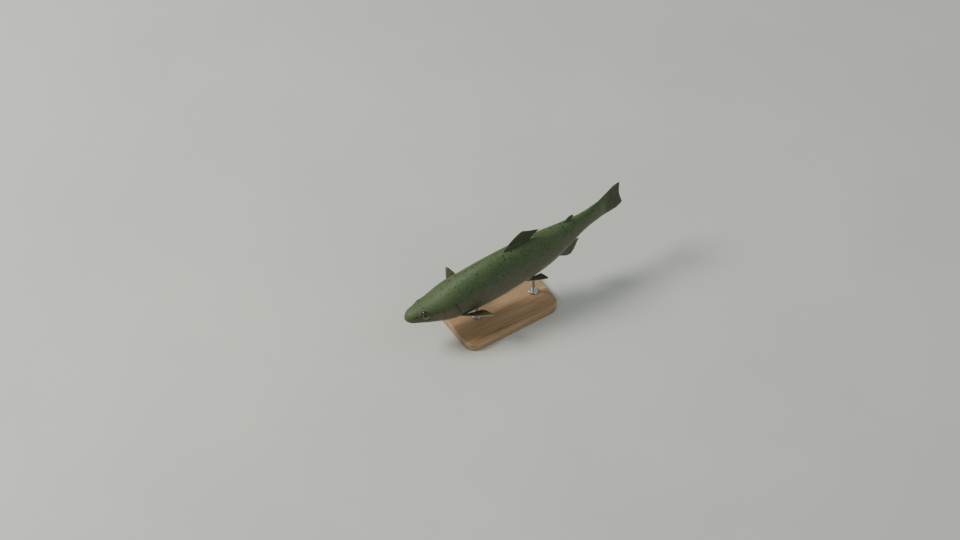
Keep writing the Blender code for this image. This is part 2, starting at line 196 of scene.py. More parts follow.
@dataclass(frozen=True)
class TroutForm:
    """The straight body's outline and section, and the pose."""

    length: float = 0.311
    flesh_end: float = 0.3285
    taper_from: float = 0.303
    nose_round: float = 0.0085
    nose_round_sides: float = 0.0106
    gap: float = 0.0003
    head_yaw: float = math.radians(-7.8)
    tail_yaw: float = math.radians(5.6)
    bend_from: float = 0.045
    bend_to: float = 0.335
    nose_down: float = math.radians(8.6)
    balance: float = 0.146
    balance_height: float = 0.0825
    # How far behind the snout, and the reach to the back, the belly and the side.
    stations: tuple[tuple[float, float, float, float], ...] = (
        (0.000, 0.0073, 0.0073, 0.0078),
        (0.010, 0.0101, 0.0105, 0.0107),
        (0.026, 0.0138, 0.0188, 0.0150),
        (0.045, 0.0186, 0.0276, 0.0194),
        (0.062, 0.0244, 0.0330, 0.0228),
        (0.090, 0.0316, 0.0362, 0.0233),
        (0.125, 0.0366, 0.0370, 0.0226),
        (0.160, 0.0376, 0.0370, 0.0209),
        (0.195, 0.0346, 0.0360, 0.0193),
        (0.225, 0.0294, 0.0334, 0.0170),
        (0.250, 0.0238, 0.0266, 0.0129),
        (0.272, 0.0190, 0.0201, 0.0093),
        (0.292, 0.0164, 0.0169, 0.0065),
        (0.311, 0.0173, 0.0178, 0.0041),
    )

    @cached_property
    def back(self) -> SmoothCurve:
        """The reach above the axis."""
        return SmoothCurve([(s[0], s[1]) for s in self.stations])

    @cached_property
    def belly(self) -> SmoothCurve:
        """The reach below the axis."""
        return SmoothCurve([(s[0], s[2]) for s in self.stations])

    @cached_property
    def side(self) -> SmoothCurve:
        """The reach beside the axis."""
        return SmoothCurve([(s[0], s[3]) for s in self.stations])

    def nose(self, x: Array, reach: float) -> Array:
        """The rounding of the snout, from 0 at its tip to 1 at the given reach."""
        t = np.clip(x / reach, 0.0, 1.0)
        return np.sqrt(np.maximum(0.0, 1 - (1 - t) ** 2))

    def reaches(self, x: Array) -> tuple[Array, Array, Array]:
        """The body's reach above, below and beside its axis.

        Args:
            x: Distances behind the snout.

        Returns:
            The three reaches at each distance. Past the root of the tail fin the flesh thins to a round edge.
        """
        past = np.clip((x - self.length) / (self.flesh_end - self.length), 0, 1)
        high = self.nose(x, self.nose_round) * (1 - 0.10 * past**2 - 0.62 * past**5)
        thinning = np.clip((x - self.taper_from) / (self.flesh_end - self.taper_from), 0, 1)
        broad = self.nose(x, self.nose_round_sides) * (1 - thinning**2)
        return self.back(x) * high, self.belly(x) * high, self.side(x) * broad

    def powers(self, x: Array) -> tuple[Array, Array]:
        """Exponents of the section's upper and lower half: flat crown, full belly, oval tail.

        Args:
            x: Distances behind the snout.

        Returns:
            The two exponents at each distance.
        """
        crown = 2.45 - 0.45 * eased(x, 0.03, 0.10)
        belly = 2.10 + 0.15 * eased(x, 0.05, 0.11) - 0.20 * eased(x, 0.17, 0.26)
        return crown, belly

    def half(self, x: Array, upper: Array) -> tuple[Array, Array, Array]:
        """The upper or lower half of the section.

        Args:
            x: Distances behind the snout.
            upper: Whether each point lies in the upper half.

        Returns:
            The reaches up or down, the reaches beside, and the exponents.
        """
        back, belly, side = self.reaches(x)
        crown_power, belly_power = self.powers(x)
        return np.where(upper, back, belly), side, np.where(upper, crown_power, belly_power)

    def surface(self, x: Array, turn: Array, outwards: Array | float = 0.0) -> Array:
        """Points of the straight body.

        Args:
            x: Distances behind the snout.
            turn: Angles round from the back towards the fish's right.
            outwards: How far off the surface of the solids.

        Returns:
            The points, with their coordinates on the last axis.
        """
        x, turn, outwards = np.broadcast_arrays(np.asarray(x, float), turn, outwards)
        across, up = np.sin(turn), np.cos(turn)
        high, side, power = self.half(x, up > 0)
        y = np.maximum(side + outwards, 0) * np.sign(across) * np.abs(across) ** (2 / power)
        z = np.maximum(high + outwards, 0) * np.sign(up) * np.abs(up) ** (2 / power)
        return np.stack([x, y, z], axis=-1)

    def flank(self, x: Array | float, z: Array | float, right: int, outwards: Array | float = 0.0) -> Array:
        """Points of one flank at places of its side view.

        Args:
            x: Distances behind the snout.
            z: Heights above the axis.
            right: 1 for the fish's right, -1 for its left.
            outwards: How far off the surface of the solids.

        Returns:
            The points, with their coordinates on the last axis.
        """
        x, z, outwards = np.broadcast_arrays(np.asarray(x, float), z, outwards)
        high, side, power = self.half(x, z > 0)
        share = np.minimum(np.abs(z) / np.maximum(high, TINY), 0.999)
        return np.stack([x, right * (side * (1 - share**power) ** (1 / power) + outwards), z], axis=-1)

    @cached_property
    def girths(self) -> tuple[Array, Chart, Chart]:
        """The way round one flank, cut into shares.

        Returns:
            Its length along the body, the share of it at each angle, and the angle at each share.
        """
        xs, turns = np.linspace(0, self.flesh_end, 300), np.linspace(0, math.pi, 241)
        points = self.surface(xs[:, None], turns[None, :])
        steps = np.linalg.norm(np.diff(points, axis=1), axis=-1)
        arcs = np.concatenate([np.zeros((len(xs), 1)), np.cumsum(steps, axis=1)], axis=1)
        whole = arcs[:, -1].copy()
        shares = np.where(whole[:, None] > TINY, arcs / np.maximum(whole[:, None], TINY), turns / math.pi)
        angles = np.array([np.interp(np.linspace(0, 1, 241), row, turns) for row in shares])
        ends = (0.0, self.flesh_end)
        return whole, Chart(ends, (0.0, math.pi), shares), Chart(ends, (0.0, 1.0), angles)

    def half_girth(self, x: Array) -> Array:
        """The way from the back to the belly over one flank."""
        whole = self.girths[0]
        return np.interp(x, np.linspace(0, self.flesh_end, len(whole)), whole)

    def share_at(self, x: Array, turn: Array) -> Array:
        """How far round from the back an angle is, as a share of the half girth."""
        return self.girths[1](x, np.abs(turn))

    def turn_at(self, x: Array, share: Array) -> Array:
        """The angle at a share of the half girth. A share below 0 or over 1 goes on round the other flank.

        Args:
            x: Distances behind the snout.
            share: Shares of the half girth.

        Returns:
            The angles.
        """
        folded = 1 - np.abs(1 - np.abs(share))
        turn = self.girths[2](x, folded)
        turn = np.where(np.abs(share) > 1, 2 * math.pi - turn, turn)
        return np.where(share < 0, -turn, turn)

    @cached_property
    def spine(self) -> tuple[Array, Array, Array, Array]:
        """The bend of the axis.

        Returns:
            Places along the straight axis, with the bent one's X, Y and heading at each.
        """
        at = np.linspace(-0.01, 0.39, 401)
        line = np.clip((at - self.bend_from) / (self.bend_to - self.bend_from), 0, 1)
        share = 0.6 * eased(at, self.bend_from, self.bend_to) + 0.4 * line
        yaw = self.head_yaw + (self.tail_yaw - self.head_yaw) * share
        steps, middle = np.diff(at), (yaw[1:] + yaw[:-1]) / 2
        x = np.concatenate([[0], np.cumsum(steps * np.cos(middle))])
        y = np.concatenate([[0], np.cumsum(steps * np.sin(middle))])
        return at, x - np.interp(self.balance, at, x), y - np.interp(self.balance, at, y), yaw

    def posed(self, points: Array) -> Array:
        """Where points of the straight fish are on the finished model.

        Args:
            points: Points, with their coordinates on the last axis.

        Returns:
            The points after the bend, the tip of the nose and the lift.
        """
        at, along, across, yaws = self.spine
        x, y, yaw = (np.interp(points[..., 0], at, column) for column in (along, across, yaws))
        bent = np.stack(
            [x - points[..., 1] * np.sin(yaw), y + points[..., 1] * np.cos(yaw), points[..., 2]], axis=-1
        )
        tip = np.array(Matrix.Rotation(-self.nose_down, 3, "Y"))
        return bent @ tip.T + np.array([0, 0, self.balance_height])


FORM = TroutForm()


@dataclass(frozen=True)
class HeadLines:
    """The lines that part the head: mouth, cheek, gill cover and eye."""

    gill_edge: tuple[tuple[float, float], ...] = (
        (0, 0.0585), (45, 0.0606), (75, 0.0682), (100, 0.0715), (130, 0.0672), (158, 0.0535), (180, 0.0468),
    )
    cheek_edge: tuple[tuple[float, float], ...] = (
        (0, 0.0490), (50, 0.0492), (100, 0.0515), (140, 0.0478), (180, 0.0430),
    )
    eye_at: tuple[float, float] = (0.0262, 0.0056)
    eye_radius: float = 0.0065
    eye_depth: float = 0.0032
    eye_proud: float = 0.0010
    mouth_drop: float = -0.0016
    mouth_slope: float = -0.235
    mouth_end: float = 0.0405

    @cached_property
    def gill(self) -> SmoothCurve:
        """How far back the gill cover reaches, by degrees round from the back."""
        return SmoothCurve(self.gill_edge)

    @cached_property
    def cheek(self) -> SmoothCurve:
        """How far back the cheek reaches, by degrees round from the back."""
        return SmoothCurve(self.cheek_edge)

    def mouth(self, x: Array) -> Array:
        """The height of the line between the jaws."""
        return self.mouth_drop * eased(x, 0.0, 0.005) + self.mouth_slope * x

    def mouth_share(self, x: Array) -> Array:
        """How far round from the back the line between the jaws is, as a share of the half girth.

        Args:
            x: Distances behind the snout.

        Returns:
            The shares.
        """
        belly = np.maximum(FORM.reaches(x)[1], TINY)
        power = FORM.powers(x)[1]
        cosine = np.clip(-self.mouth(x) / belly, 0, 0.98) ** (power / 2)
        return FORM.share_at(x, math.pi - np.arccos(cosine))

    def edge_at(self, curve: SmoothCurve, share: Array) -> Array:
        """How far behind the snout an edge crosses each share of the half girth.

        Args:
            curve: The edge, by degrees round from the back.
            share: Shares of the half girth.

        Returns:
            Distances behind the snout.
        """
        x = np.full(np.shape(share), 0.06)
        for _ in range(3):
            x = curve(np.degrees(FORM.turn_at(x, share)))
        return x

    def slit(self, share: Array) -> Array:
        """How open the gill slit is: closed over the nape, free from the height of the eye to the throat."""
        return eased(share, 0.30, 0.37) * (1 - eased(share, 0.925, 0.985))

    def eye_place(self, right: int) -> tuple[Vector, Vector]:
        """The eye's place on the straight head.

        Args:
            right: 1 for the fish's right, -1 for its left.

        Returns:
            The point of the flank over the eye's middle, and the way the eye looks.
        """
        (x, z), reach = self.eye_at, self.eye_depth
        here, front, rear, above, below = (
            Vector(FORM.flank(x + a, z + b, right))
            for a, b in ((0, 0), (-reach, 0), (reach, 0), (0, reach), (0, -reach))
        )
        outward = (front - rear).cross(above - below).normalized()
        return here, outward if outward.y * right > 0 else -outward


HEAD = HeadLines()


# Mesh helpers
# ------------


def places_of(mesh: Mesh) -> Array:
    """The mesh's corners as rows of X, Y, Z.

    Args:
        mesh: The mesh.

    Returns:
        The corners.
    """
    found = np.empty(len(mesh.vertices) * 3, np.float32)
    mesh.vertices.foreach_get("co", found)
    return found.reshape(-1, 3).astype(float)


def set_places(mesh: Mesh, points: Array) -> None:
    """Moves the mesh's corners to these points."""
    mesh.vertices.foreach_set("co", np.ascontiguousarray(points, np.float32).ravel())
    mesh.update()


def set_notes(mesh: Mesh, **notes: Array) -> None:
    """Stores named notes, three numbers for each corner, that the finishes read.

    Args:
        mesh: The mesh.
        notes: The notes, by name.
    """
    for name, values in notes.items():
        made = mesh.attributes.new(name, "FLOAT_VECTOR", "POINT")
        made.data.foreach_set("vector", np.ascontiguousarray(values, np.float32).ravel())


def set_bake_map(mesh: Mesh, places: Array) -> None:
    """Stores the unwrap, one place in the unit square for each corner of the mesh.

    Args:
        mesh: The mesh.
        places: The places.
    """
    corners = np.empty(len(mesh.loops), np.int32)
    mesh.loops.foreach_get("vertex_index", corners)
    layer = mesh.uv_layers.new(name=BAKE_MAP)
    layer.data.foreach_set("uv", np.ascontiguousarray(places[corners], np.float32).ravel())


def mesh_from(name: str, mesh: BMesh) -> Mesh:
    """Turns a bmesh into a mesh.

    Args:
        name: The mesh's name.
        mesh: The bmesh, which is freed.

    Returns:
        The mesh.
    """
    data = bpy.data.meshes.new(name)
    mesh.to_mesh(data)
    mesh.free()
    return data


def grid_mesh(name: str, cells: tuple[int, int], slab: bool = False) -> tuple[Mesh, Array]:
    """A grid of square cells, or a closed slab of two such grids.

    Args:
        name: The mesh's name.
        cells: How many cells across and along.
        slab: Whether to extrude the grid into a closed slab.

    Returns:
        The mesh, and for each of its corners u and v from 0 to 1 and the layer, 0 or 1.
    """
    mesh = bmesh.new()
    bmesh.ops.create_grid(mesh, x_segments=cells[0], y_segments=cells[1], size=0.5)
    if slab:
        made = bmesh.ops.extrude_face_region(mesh, geom=mesh.faces[:], use_keep_orig=True)
        layer = [g for g in made["geom"] if isinstance(g, BMVert)]
        bmesh.ops.translate(mesh, verts=layer, vec=(0, 0, 1))
    data = mesh_from(name, mesh)
    return data, places_of(data) + np.array([0.5, 0.5, 0.0])


def object_of(name: str, data: ID, *finishes: Material) -> Object:
    """Puts a mesh, a camera or a lamp in the scene as an object at the origin.

    Args:
        name: The object's name.
        data: What the object shows.
        finishes: A mesh's finishes, in order of their numbers.

    Returns:
        The object.
    """
    for finish in finishes:
        data.materials.append(finish)
    made = bpy.data.objects.new(name, data)
    bpy.context.scene.collection.objects.link(made)
    return made


def merged(data: Mesh, reach: float = TINY) -> None:
    """Welds corners that meet and turns the faces outward.

    Args:
        data: The mesh.
        reach: How near corners meet.
    """
    mesh = bmesh.new()
    mesh.from_mesh(data)
    bmesh.ops.remove_doubles(mesh, verts=mesh.verts, dist=reach)
    bmesh.ops.dissolve_degenerate(mesh, dist=1e-7, edges=mesh.edges)
    bmesh.ops.recalc_face_normals(mesh, faces=mesh.faces)
    mesh.to_mesh(data)
    mesh.free()


def joined(name: str, parts: Sequence[Mesh]) -> Mesh:
    """Joins meshes into one, keeping their notes, unwraps and finishes' numbers.

    Args:
        name: The new mesh's name.
        parts: The meshes.

    Returns:
        The new mesh.
    """
    mesh = bmesh.new()
    for part in parts:
        mesh.from_mesh(part)
    whole = mesh_from(name, mesh)
    for part in parts:
        bpy.data.meshes.remove(part)
    return whole


def round_off(mesh: BMesh, edges: list[BMEdge], offset: float, steps: int) -> None:
    """Rounds some edges of a bmesh.

    Args:
        mesh: The bmesh.
        edges: The edges.
        offset: How far the rounding reaches.
        steps: How many faces it has.
    """
    bmesh.ops.bevel(
        mesh, geom=edges, offset=offset, segments=steps, profile=0.5, affect="EDGES", material=-1
    )


def smooth(data: Mesh, sharp: float = 60.0) -> None:
    """Shades a mesh smooth but for edges over an angle in degrees."""
    data.shade_smooth()
    data.set_sharp_from_angle(angle=math.radians(sharp))


def report(made: Object) -> None:
    """Logs a piece's name and how many triangles it has."""
    data = made.data
    LOG.info("%s: %d triangles", made.name, sum(len(face.vertices) - 2 for face in data.polygons))


# The hide
# --------


@dataclass(frozen=True)
class Rim:
    """A rounded rim on the flank: its middle in the side view, its radius, its section's and its depth."""

    at: tuple[float, float]
    radius: float
    tube: float
    sunk: float


ORBIT = Rim(HEAD.eye_at, 6.35 * MM, 0.50 * MM, 0.42 * MM)
NOSTRILS = (
    Rim((0.0132, 0.0058), 0.60 * MM, 0.13 * MM, 0.36 * MM),
    Rim((0.0152, 0.0062), 0.76 * MM, 0.13 * MM, 0.36 * MM),
)


@dataclass(frozen=True)
class JawBone:
    """A bone of the upper jaw, by its ends behind the snout, its lift above the mouth and its size."""

    ends: tuple[float, float]
    lift: float
    broad: float
    rise: float


JAW = JawBone((0.0080, 0.0430), FORM.gap, 0.0047, 1.22 * MM)
SPARE_JAW = JawBone((0.0275, 0.0405), 0.84 * JAW.broad, 0.0021, 0.98 * MM)


@dataclass(frozen=True)
class HeadRelief:
    """The head's small forms, by how high they stand or how deep they go."""

    lip_cleft: float = 1.3 * MM
    lip_hem: float = 0.18 * MM
    lip_swell: float = 0.22 * MM
    cheek_swell: float = 0.16 * MM
    cheek_groove: float = 0.40 * MM
    cover_groove: float = 0.34 * MM
    strip_groove: float = 0.30 * MM
    free_edge: float = 0.16 * MM
    jaw_groove: float = 0.34 * MM
    gill_ray: float = 0.26 * MM
    gill_ray_pitch: float = 1.9 * MM
    throat_cleft: float = 0.35 * MM
    socket: float = 2.7 * MM
    lid: float = 0.22 * MM
    orbit_groove: float = 0.20 * MM
    brow: float = 0.10 * MM
    nostril_well: float = 1.2 * MM

    def at(self, x: Array, share: Array, turn: Array, columns: Array) -> Array:
        """All the forms together.

        Args:
            x: Distances behind the snout.
            share: Shares of the half girth.
            turn: Angles round from the back.
            columns: How many columns below the line between the jaws each corner is.

        Returns:
            How far out or, below 0, how far in each corner goes.
        """
        points = FORM.surface(x, turn)
        lips = np.clip(HEAD.mouth_share(x), 0, 1)
        out = self.mouth(x, share, lips, columns) + self.gill_cover(x, share) + self.throat(x, share, lips)
        return out + self.eye_sockets(points) + self.nostril_wells(points)

    def mouth(self, x: Array, share: Array, lips: Array, columns: Array) -> Array:
        """The cleft between the lips and their swelling.

        Args:
            x: Distances behind the snout.
            share: Shares of the half girth.
            lips: The share at which the lips meet.
            columns: How many columns below that line each corner is.

        Returns:
            How far out each corner goes.
        """
        closing = eased(x, 0.0, 0.0012) * (1 - eased(x, HEAD.mouth_end - 0.0015, HEAD.mouth_end + 0.0005))
        from_lips = np.abs((share - lips) * FORM.half_girth(x))
        out = -self.lip_cleft * closing * (np.abs(columns) < 0.5)
        out -= self.lip_hem * closing * (np.abs(np.abs(columns) - 1) < 0.5)
        return out + self.lip_swell * closing * bump_at(from_lips, 1.1 * MM, 0.6 * MM)

    def gill_cover(self, x: Array, share: Array) -> Array:
        """The groove behind the cheek, the cover's two plates and the strip below them.

        Args:
            x: Distances behind the snout.
            share: Shares of the half girth.

        Returns:
            How far out each corner goes.
        """
        girth = FORM.half_girth(x)
        cheek, gill = HEAD.edge_at(HEAD.cheek, share), HEAD.edge_at(HEAD.gill, share)
        along_cheek = eased(share, 0.30, 0.40) * (1 - eased(share, 0.86, 0.95))
        swell = self.cheek_swell * bump_at(x, cheek - 1.3 * MM, 1.0 * MM)
        out = along_cheek * (swell - self.cheek_groove * bump_at(x, cheek, 0.75 * MM))
        cover = np.clip((x - cheek) / (gill - cheek), 0, 1)
        on_cover = eased(x, cheek, cheek + 1.5 * MM) * (1 - eased(x, gill - 0.5 * MM, gill))
        out -= self.cover_groove * on_cover * bump_at((share - 0.665 + 0.055 * cover) * girth, 0.0, 0.5 * MM)
        strip = eased(x, cheek - 9 * MM, cheek - 6 * MM) * (1 - eased(x, gill - 3 * MM, gill - 1 * MM))
        out -= self.strip_groove * strip * bump_at((share - 0.800 + 0.05 * cover) * girth, 0.0, 0.5 * MM)
        return out - self.free_edge * eased(x, gill - 1.0 * MM, gill) * HEAD.slit(share) * (x <= gill)

    def throat(self, x: Array, share: Array, lips: Array) -> Array:
        """The jaw bones' lower edge, the gill rays and the cleft between the halves.

        Args:
            x: Distances behind the snout.
            share: Shares of the half girth.
            lips: The share at which the lips meet.

        Returns:
            How far out each corner goes.
        """
        girth, gill = FORM.half_girth(x), HEAD.edge_at(HEAD.gill, share)
        jaw = lips + (1 - lips) * 0.52
        under = eased(x, 0.003, 0.008) * (1 - eased(x, 0.044, 0.048))
        out = -self.jaw_groove * under * bump_at((share - jaw) * girth, 0.0, 0.6 * MM)
        rays = eased(x, 0.028, 0.034) * (1 - eased(x, gill - 3 * MM, gill))
        rays = rays * eased(share, 0.835, 0.87) * (1 - eased(share, 0.96, 0.985))
        comb = 0.5 + 0.5 * np.cos(2 * math.pi * (share - 0.84) * girth / self.gill_ray_pitch)
        out -= self.gill_ray * rays * comb
        along_cleft = eased(x, 0.006, 0.012) * (1 - eased(x, gill - 4 * MM, gill))
        return out - self.throat_cleft * along_cleft * bump_at((1 - share) * girth, 0, 0.8 * MM)

    def eye_sockets(self, points: Array) -> Array:
        """The hollow under each eyeball, its brow and the bones round it.

        Args:
            points: The straight body's surface.

        Returns:
            How far out each corner goes.
        """
        out = np.zeros(points.shape[:-1])
        for side in Side:
            here, _ = HEAD.eye_place(side.value)
            away = np.linalg.norm(points - np.array(here), axis=-1)
            below = eased(-(points[..., 2] - here.z), -2.5 * MM, 2.5 * MM)
            behind = eased(points[..., 0] - here.x, -4 * MM, 2 * MM)
            out -= self.socket * (1 - eased(away, 4.2 * MM, 6.3 * MM))
            out += self.lid * bump_at(away, 7.4 * MM, 0.9 * MM)
            out -= self.orbit_groove * bump_at(away, 10.4 * MM, 0.75 * MM) * np.maximum(below, behind)
            out += self.brow * bump_at(away, 8.8 * MM, 1.0 * MM) * (1 - below)
        return out

    def nostril_wells(self, points: Array) -> Array:
        """The small hollows of the nostrils.

        Args:
            points: The straight body's surface.

        Returns:
            How far out each corner goes.
        """
        out = np.zeros(points.shape[:-1])
        for side in Side:
            for nostril in NOSTRILS:
                here = FORM.flank(*nostril.at, side.value)
                away = np.linalg.norm(points - here, axis=-1)
                out -= self.nostril_well * np.exp(-((away / (0.95 * nostril.radius)) ** 2))
        return out


@dataclass
class BodyHide:
    """The hide of the head and trunk, one closed grid from the lips to the root of the tail fin."""

    around: int = 232
    snout_rings: int = 104
    cover_rings: int = 34
    trunk_rings: int = 84
    head_inset: float = 0.30 * MM
    coat_depth: float = 0.45 * MM
    # The gill cover's free edge and the slit behind it: how far back and how far out, in millimetres.
    slit_open: tuple[tuple[float, float], ...] = (
        (0.22, -0.60), (-0.20, -0.95), (-2.20, -1.35), (-1.60, -1.66), (0.70, -1.62),
    )
    slit_closed: tuple[tuple[float, float], ...] = (
        (0.30, -0.30), (0.60, -0.30), (0.90, -0.30), (1.20, -0.30), (1.50, -0.30),
    )
    trunk_start: float = 1.7 * MM
    shoulder: float = 9.0 * MM
    shoulder_dip: float = 1.30 * MM
    nape: float = 11.0 * MM
    forms: HeadRelief = field(default_factory=HeadRelief)

    def dip(self, behind_edge: Array, share: Array) -> Array:
        """How far the shoulder dives under the free edge of the gill cover.

        Args:
            behind_edge: Distance behind that edge.
            share: How far round from the back, as a share of the half girth.

        Returns:
            Depths below the trunk's own surface.
        """
        return self.shoulder_dip * HEAD.slit(share) * (1 - eased(behind_edge, 0.0, self.shoulder)) ** 1.5

    def rings(self, share: Array) -> tuple[Array, Array]:
        """How far back and how far out every ring of the grid is, before the relief.

        Args:
            share: The columns' shares of the half girth.

        Returns:
            Two tables with a row for each ring and a column for each share.
        """
        cheek, gill = HEAD.edge_at(HEAD.cheek, share), HEAD.edge_at(HEAD.gill, share)
        slit = HEAD.slit(share)
        snout = (np.arange(self.snout_rings + 1) / self.snout_rings)[:, None] ** 1.35
        cover = (np.arange(1, self.cover_rings + 1) / self.cover_rings)[:, None]
        opened, closed = np.array(self.slit_open) * MM, np.array(self.slit_closed) * MM
        fold = opened[:, None, :] * slit[:, None] + closed[:, None, :] * (1 - slit[:, None])
        start = gill + self.trunk_start
        trunk = 1 - (1 - (np.arange(1, self.trunk_rings + 1) / self.trunk_rings)[:, None]) ** 1.25
        behind = np.concatenate([
            cheek * snout,
            cheek + (gill - cheek) * cover,
            gill + fold[..., 0],
            start + (FORM.flesh_end - start) * trunk,
        ])
        head = np.full((self.snout_rings + 1 + self.cover_rings, len(share)), -self.head_inset)
        past = behind[-self.trunk_rings :] - gill
        nape = (self.coat_depth - self.head_inset) * (1 - slit) * (1 - eased(past, 0.0, self.nape))
        tail = nape - self.coat_depth - self.dip(past, share)
        return behind, np.concatenate([head, fold[..., 1], tail])

    def build(self) -> Mesh:
        """Models the hide of the head and trunk.

        Returns:
            The mesh.
        """
        cells = (self.around, self.snout_rings + self.cover_rings + len(self.slit_open) + self.trunk_rings)
        data, uv = grid_mesh("body_hide", cells)
        half = self.around // 2
        column, ring = (np.rint(uv[:, i] * cells[i]).astype(int) for i in (0, 1))
        from_back = np.abs(np.arange(self.around + 1) - half)
        mouth_column = round(float(HEAD.mouth_share(np.array(HEAD.mouth_end))) * half)
        behind, outwards = (table[ring, column] for table in self.rings(from_back / half))
        place, middle = from_back[column] / half, mouth_column / half
        fade = 1 - eased(behind, HEAD.mouth_end, HEAD.mouth_end + 4 * MM)
        lips = middle + (HEAD.mouth_share(np.minimum(behind, HEAD.mouth_end)) - middle) * fade
        share = np.where(place < middle, place * lips / middle, 1 - (1 - place) * (1 - lips) / (1 - middle))
        columns = (place - middle) * half
        at_mouth = 1 - eased(behind, HEAD.mouth_end - 2 * MM, HEAD.mouth_end + MM)
        gather = 0.6 * bump_at(columns, 0.0, 1.6) * at_mouth
        share = lips + (share - lips) * (1 - gather)
        turn = np.sign(column - half) * FORM.turn_at(behind, share)
        on_head = ring <= self.snout_rings + self.cover_rings
        forms = self.forms.at(behind, share, turn, columns) * on_head
        set_places(data, FORM.posed(FORM.surface(behind, turn, outwards + forms)))
        # Painted shade: the deeper a groove or hollow lies, and the inside of the gill slit, the darker the
        # skin is painted.
        hollow = np.clip(-forms / (0.7 * MM), 0, 1)
        slit_shade = (ring > self.snout_rings + self.cover_rings) * (outwards < -0.8 * MM)
        set_notes(
            data,
            form=np.stack([behind, share, np.zeros_like(share)], axis=-1),
            fine=np.stack([np.maximum(hollow, slit_shade), 1.0 * on_head, np.zeros_like(share)], axis=-1),
            ray=np.zeros((len(share), 3)),
        )
        turned = 0.5 + 0.5 * np.sign(column - half) * share
        along = np.interp(behind, (0, 0.075, FORM.flesh_end), (0.005, 0.45, 0.995))
        set_bake_map(data, np.stack([along, 0.005 + 0.66 * turned], axis=-1))
        merged(data)
        return data


@dataclass
class HeadTrim:
    """The small pieces of the head that have edges of their own: upper jaw, orbit and nostrils."""

    bones: tuple[JawBone, ...] = (JAW, SPARE_JAW)
    rims: tuple[Rim, ...] = (ORBIT, *NOSTRILS)
    jaw_root: float = -0.95 * MM
    squares: int = 6

    def noted(self, data: Mesh, points: Array, hollow: Array, slot: int) -> Mesh:
        """Gives a piece of trim its notes and its small place on the unwrap, and poses it.

        Args:
            data: The piece's mesh.
            points: Its corners on the straight fish.
            hollow: How deep each corner lies, from 0 to 1, which the skin's finish paints as shade.
            slot: Which small square of the unwrap it takes.

        Returns:
            The same mesh.
        """
        x, z = points[:, 0], points[:, 2]
        reach, _, power = FORM.half(x, z > 0)
        turn = np.arccos(np.sign(z) * np.clip(np.abs(z) / np.maximum(reach, TINY), 0, 1) ** (power / 2))
        share = FORM.share_at(x, turn)
        set_places(data, FORM.posed(points))
        set_notes(
            data,
            form=np.stack([x, share, np.zeros_like(x)], axis=-1),
            fine=np.stack([hollow, np.ones_like(x), np.zeros_like(x)], axis=-1),
            ray=np.zeros((len(x), 3)),
        )
        low, size = points.min(axis=0), np.ptp(points, axis=0).max()
        local = (points[:, [0, 2]] - low[[0, 2]]) / size * 0.045
        corner = np.array([0.70 + 0.05 * (slot % self.squares), 0.90 + 0.05 * (slot // self.squares)])
        set_bake_map(data, corner + local)
        merged(data)
        return data

    def paddle(self, side: Side, bone: JawBone, slot: int) -> Mesh:
        """A narrow paddle that widens to its round rear end.

        Args:
            side: The flank it lies on.
            bone: Its sizes.
            slot: Its square of the unwrap.

        Returns:
            The mesh.
        """
        data, uvl = grid_mesh("paddle", (46, 12), slab=True)
        u, v, layer = uvl.T
        u = 1 - (1 - u) ** 1.5
        x = bone.ends[0] + (bone.ends[1] - bone.ends[0]) * u
        tip = np.sqrt(1 - np.clip((u - 0.78) / 0.22, 0, 0.999) ** 2)
        wide = bone.broad * (0.38 + 0.62 * eased(u, 0.0, 0.75))
        z = HEAD.mouth_drop + HEAD.mouth_slope * x + bone.lift + wide * (0.42 * (1 - tip) + tip * v)
        crown = (np.clip(4 * v * (1 - v), 0, 1) * np.clip(4 * u * (1 - u) * 4, 0, 1)) ** 0.34
        out = self.jaw_root + bone.rise * crown * (1 - layer) - 0.3 * MM * layer
        # Painted shade: darker towards the paddle's edges, where it meets the skin.
        return self.noted(data, FORM.flank(x, z, side.value, out), 0.55 * (1 - crown), slot)

    def ring(self, side: Side, rim: Rim, slot: int) -> Mesh:
        """A rim that follows the flank.

        Args:
            side: The flank it lies on.
            rim: Its sizes.
            slot: Its square of the unwrap.

        Returns:
            The mesh.
        """
        data, uvl = grid_mesh("rim", (56, 10))
        round_it, section = 2 * math.pi * uvl[:, 0], 2 * math.pi * uvl[:, 1]
        here = FORM.flank(*rim.at, side.value)
        ahead = FORM.flank(rim.at[0] - MM, rim.at[1], side.value) - here
        above = FORM.flank(rim.at[0], rim.at[1] + MM, side.value) - here
        ahead, above = ahead / np.linalg.norm(ahead), above / np.linalg.norm(above)
        look = np.cross(ahead, above)
        look *= np.sign(look[1]) * side.value
        spoke = np.cos(round_it)[:, None] * ahead + np.sin(round_it)[:, None] * above
        flat = here + rim.radius * spoke
        middle = FORM.flank(flat[:, 0], flat[:, 2], side.value, -rim.sunk)
        points = middle + rim.tube * (np.cos(section)[:, None] * spoke + np.sin(section)[:, None] * look)
        # Painted shade: darker on the side of the rim that turns in towards the skin.
        return self.noted(data, points, np.clip(0.6 - np.sin(section), 0, 1) * 0.5, slot)

    def build(self) -> list[Mesh]:
        """Models the trim of both sides.

        Returns:
            The meshes.
        """
        made = []
        for number, side in enumerate(Side):
            slots = iter(range(self.squares * number, self.squares * (number + 1)))
            made += [self.paddle(side, bone, next(slots)) for bone in self.bones]
            made += [self.ring(side, rim, next(slots)) for rim in self.rims]
        return made


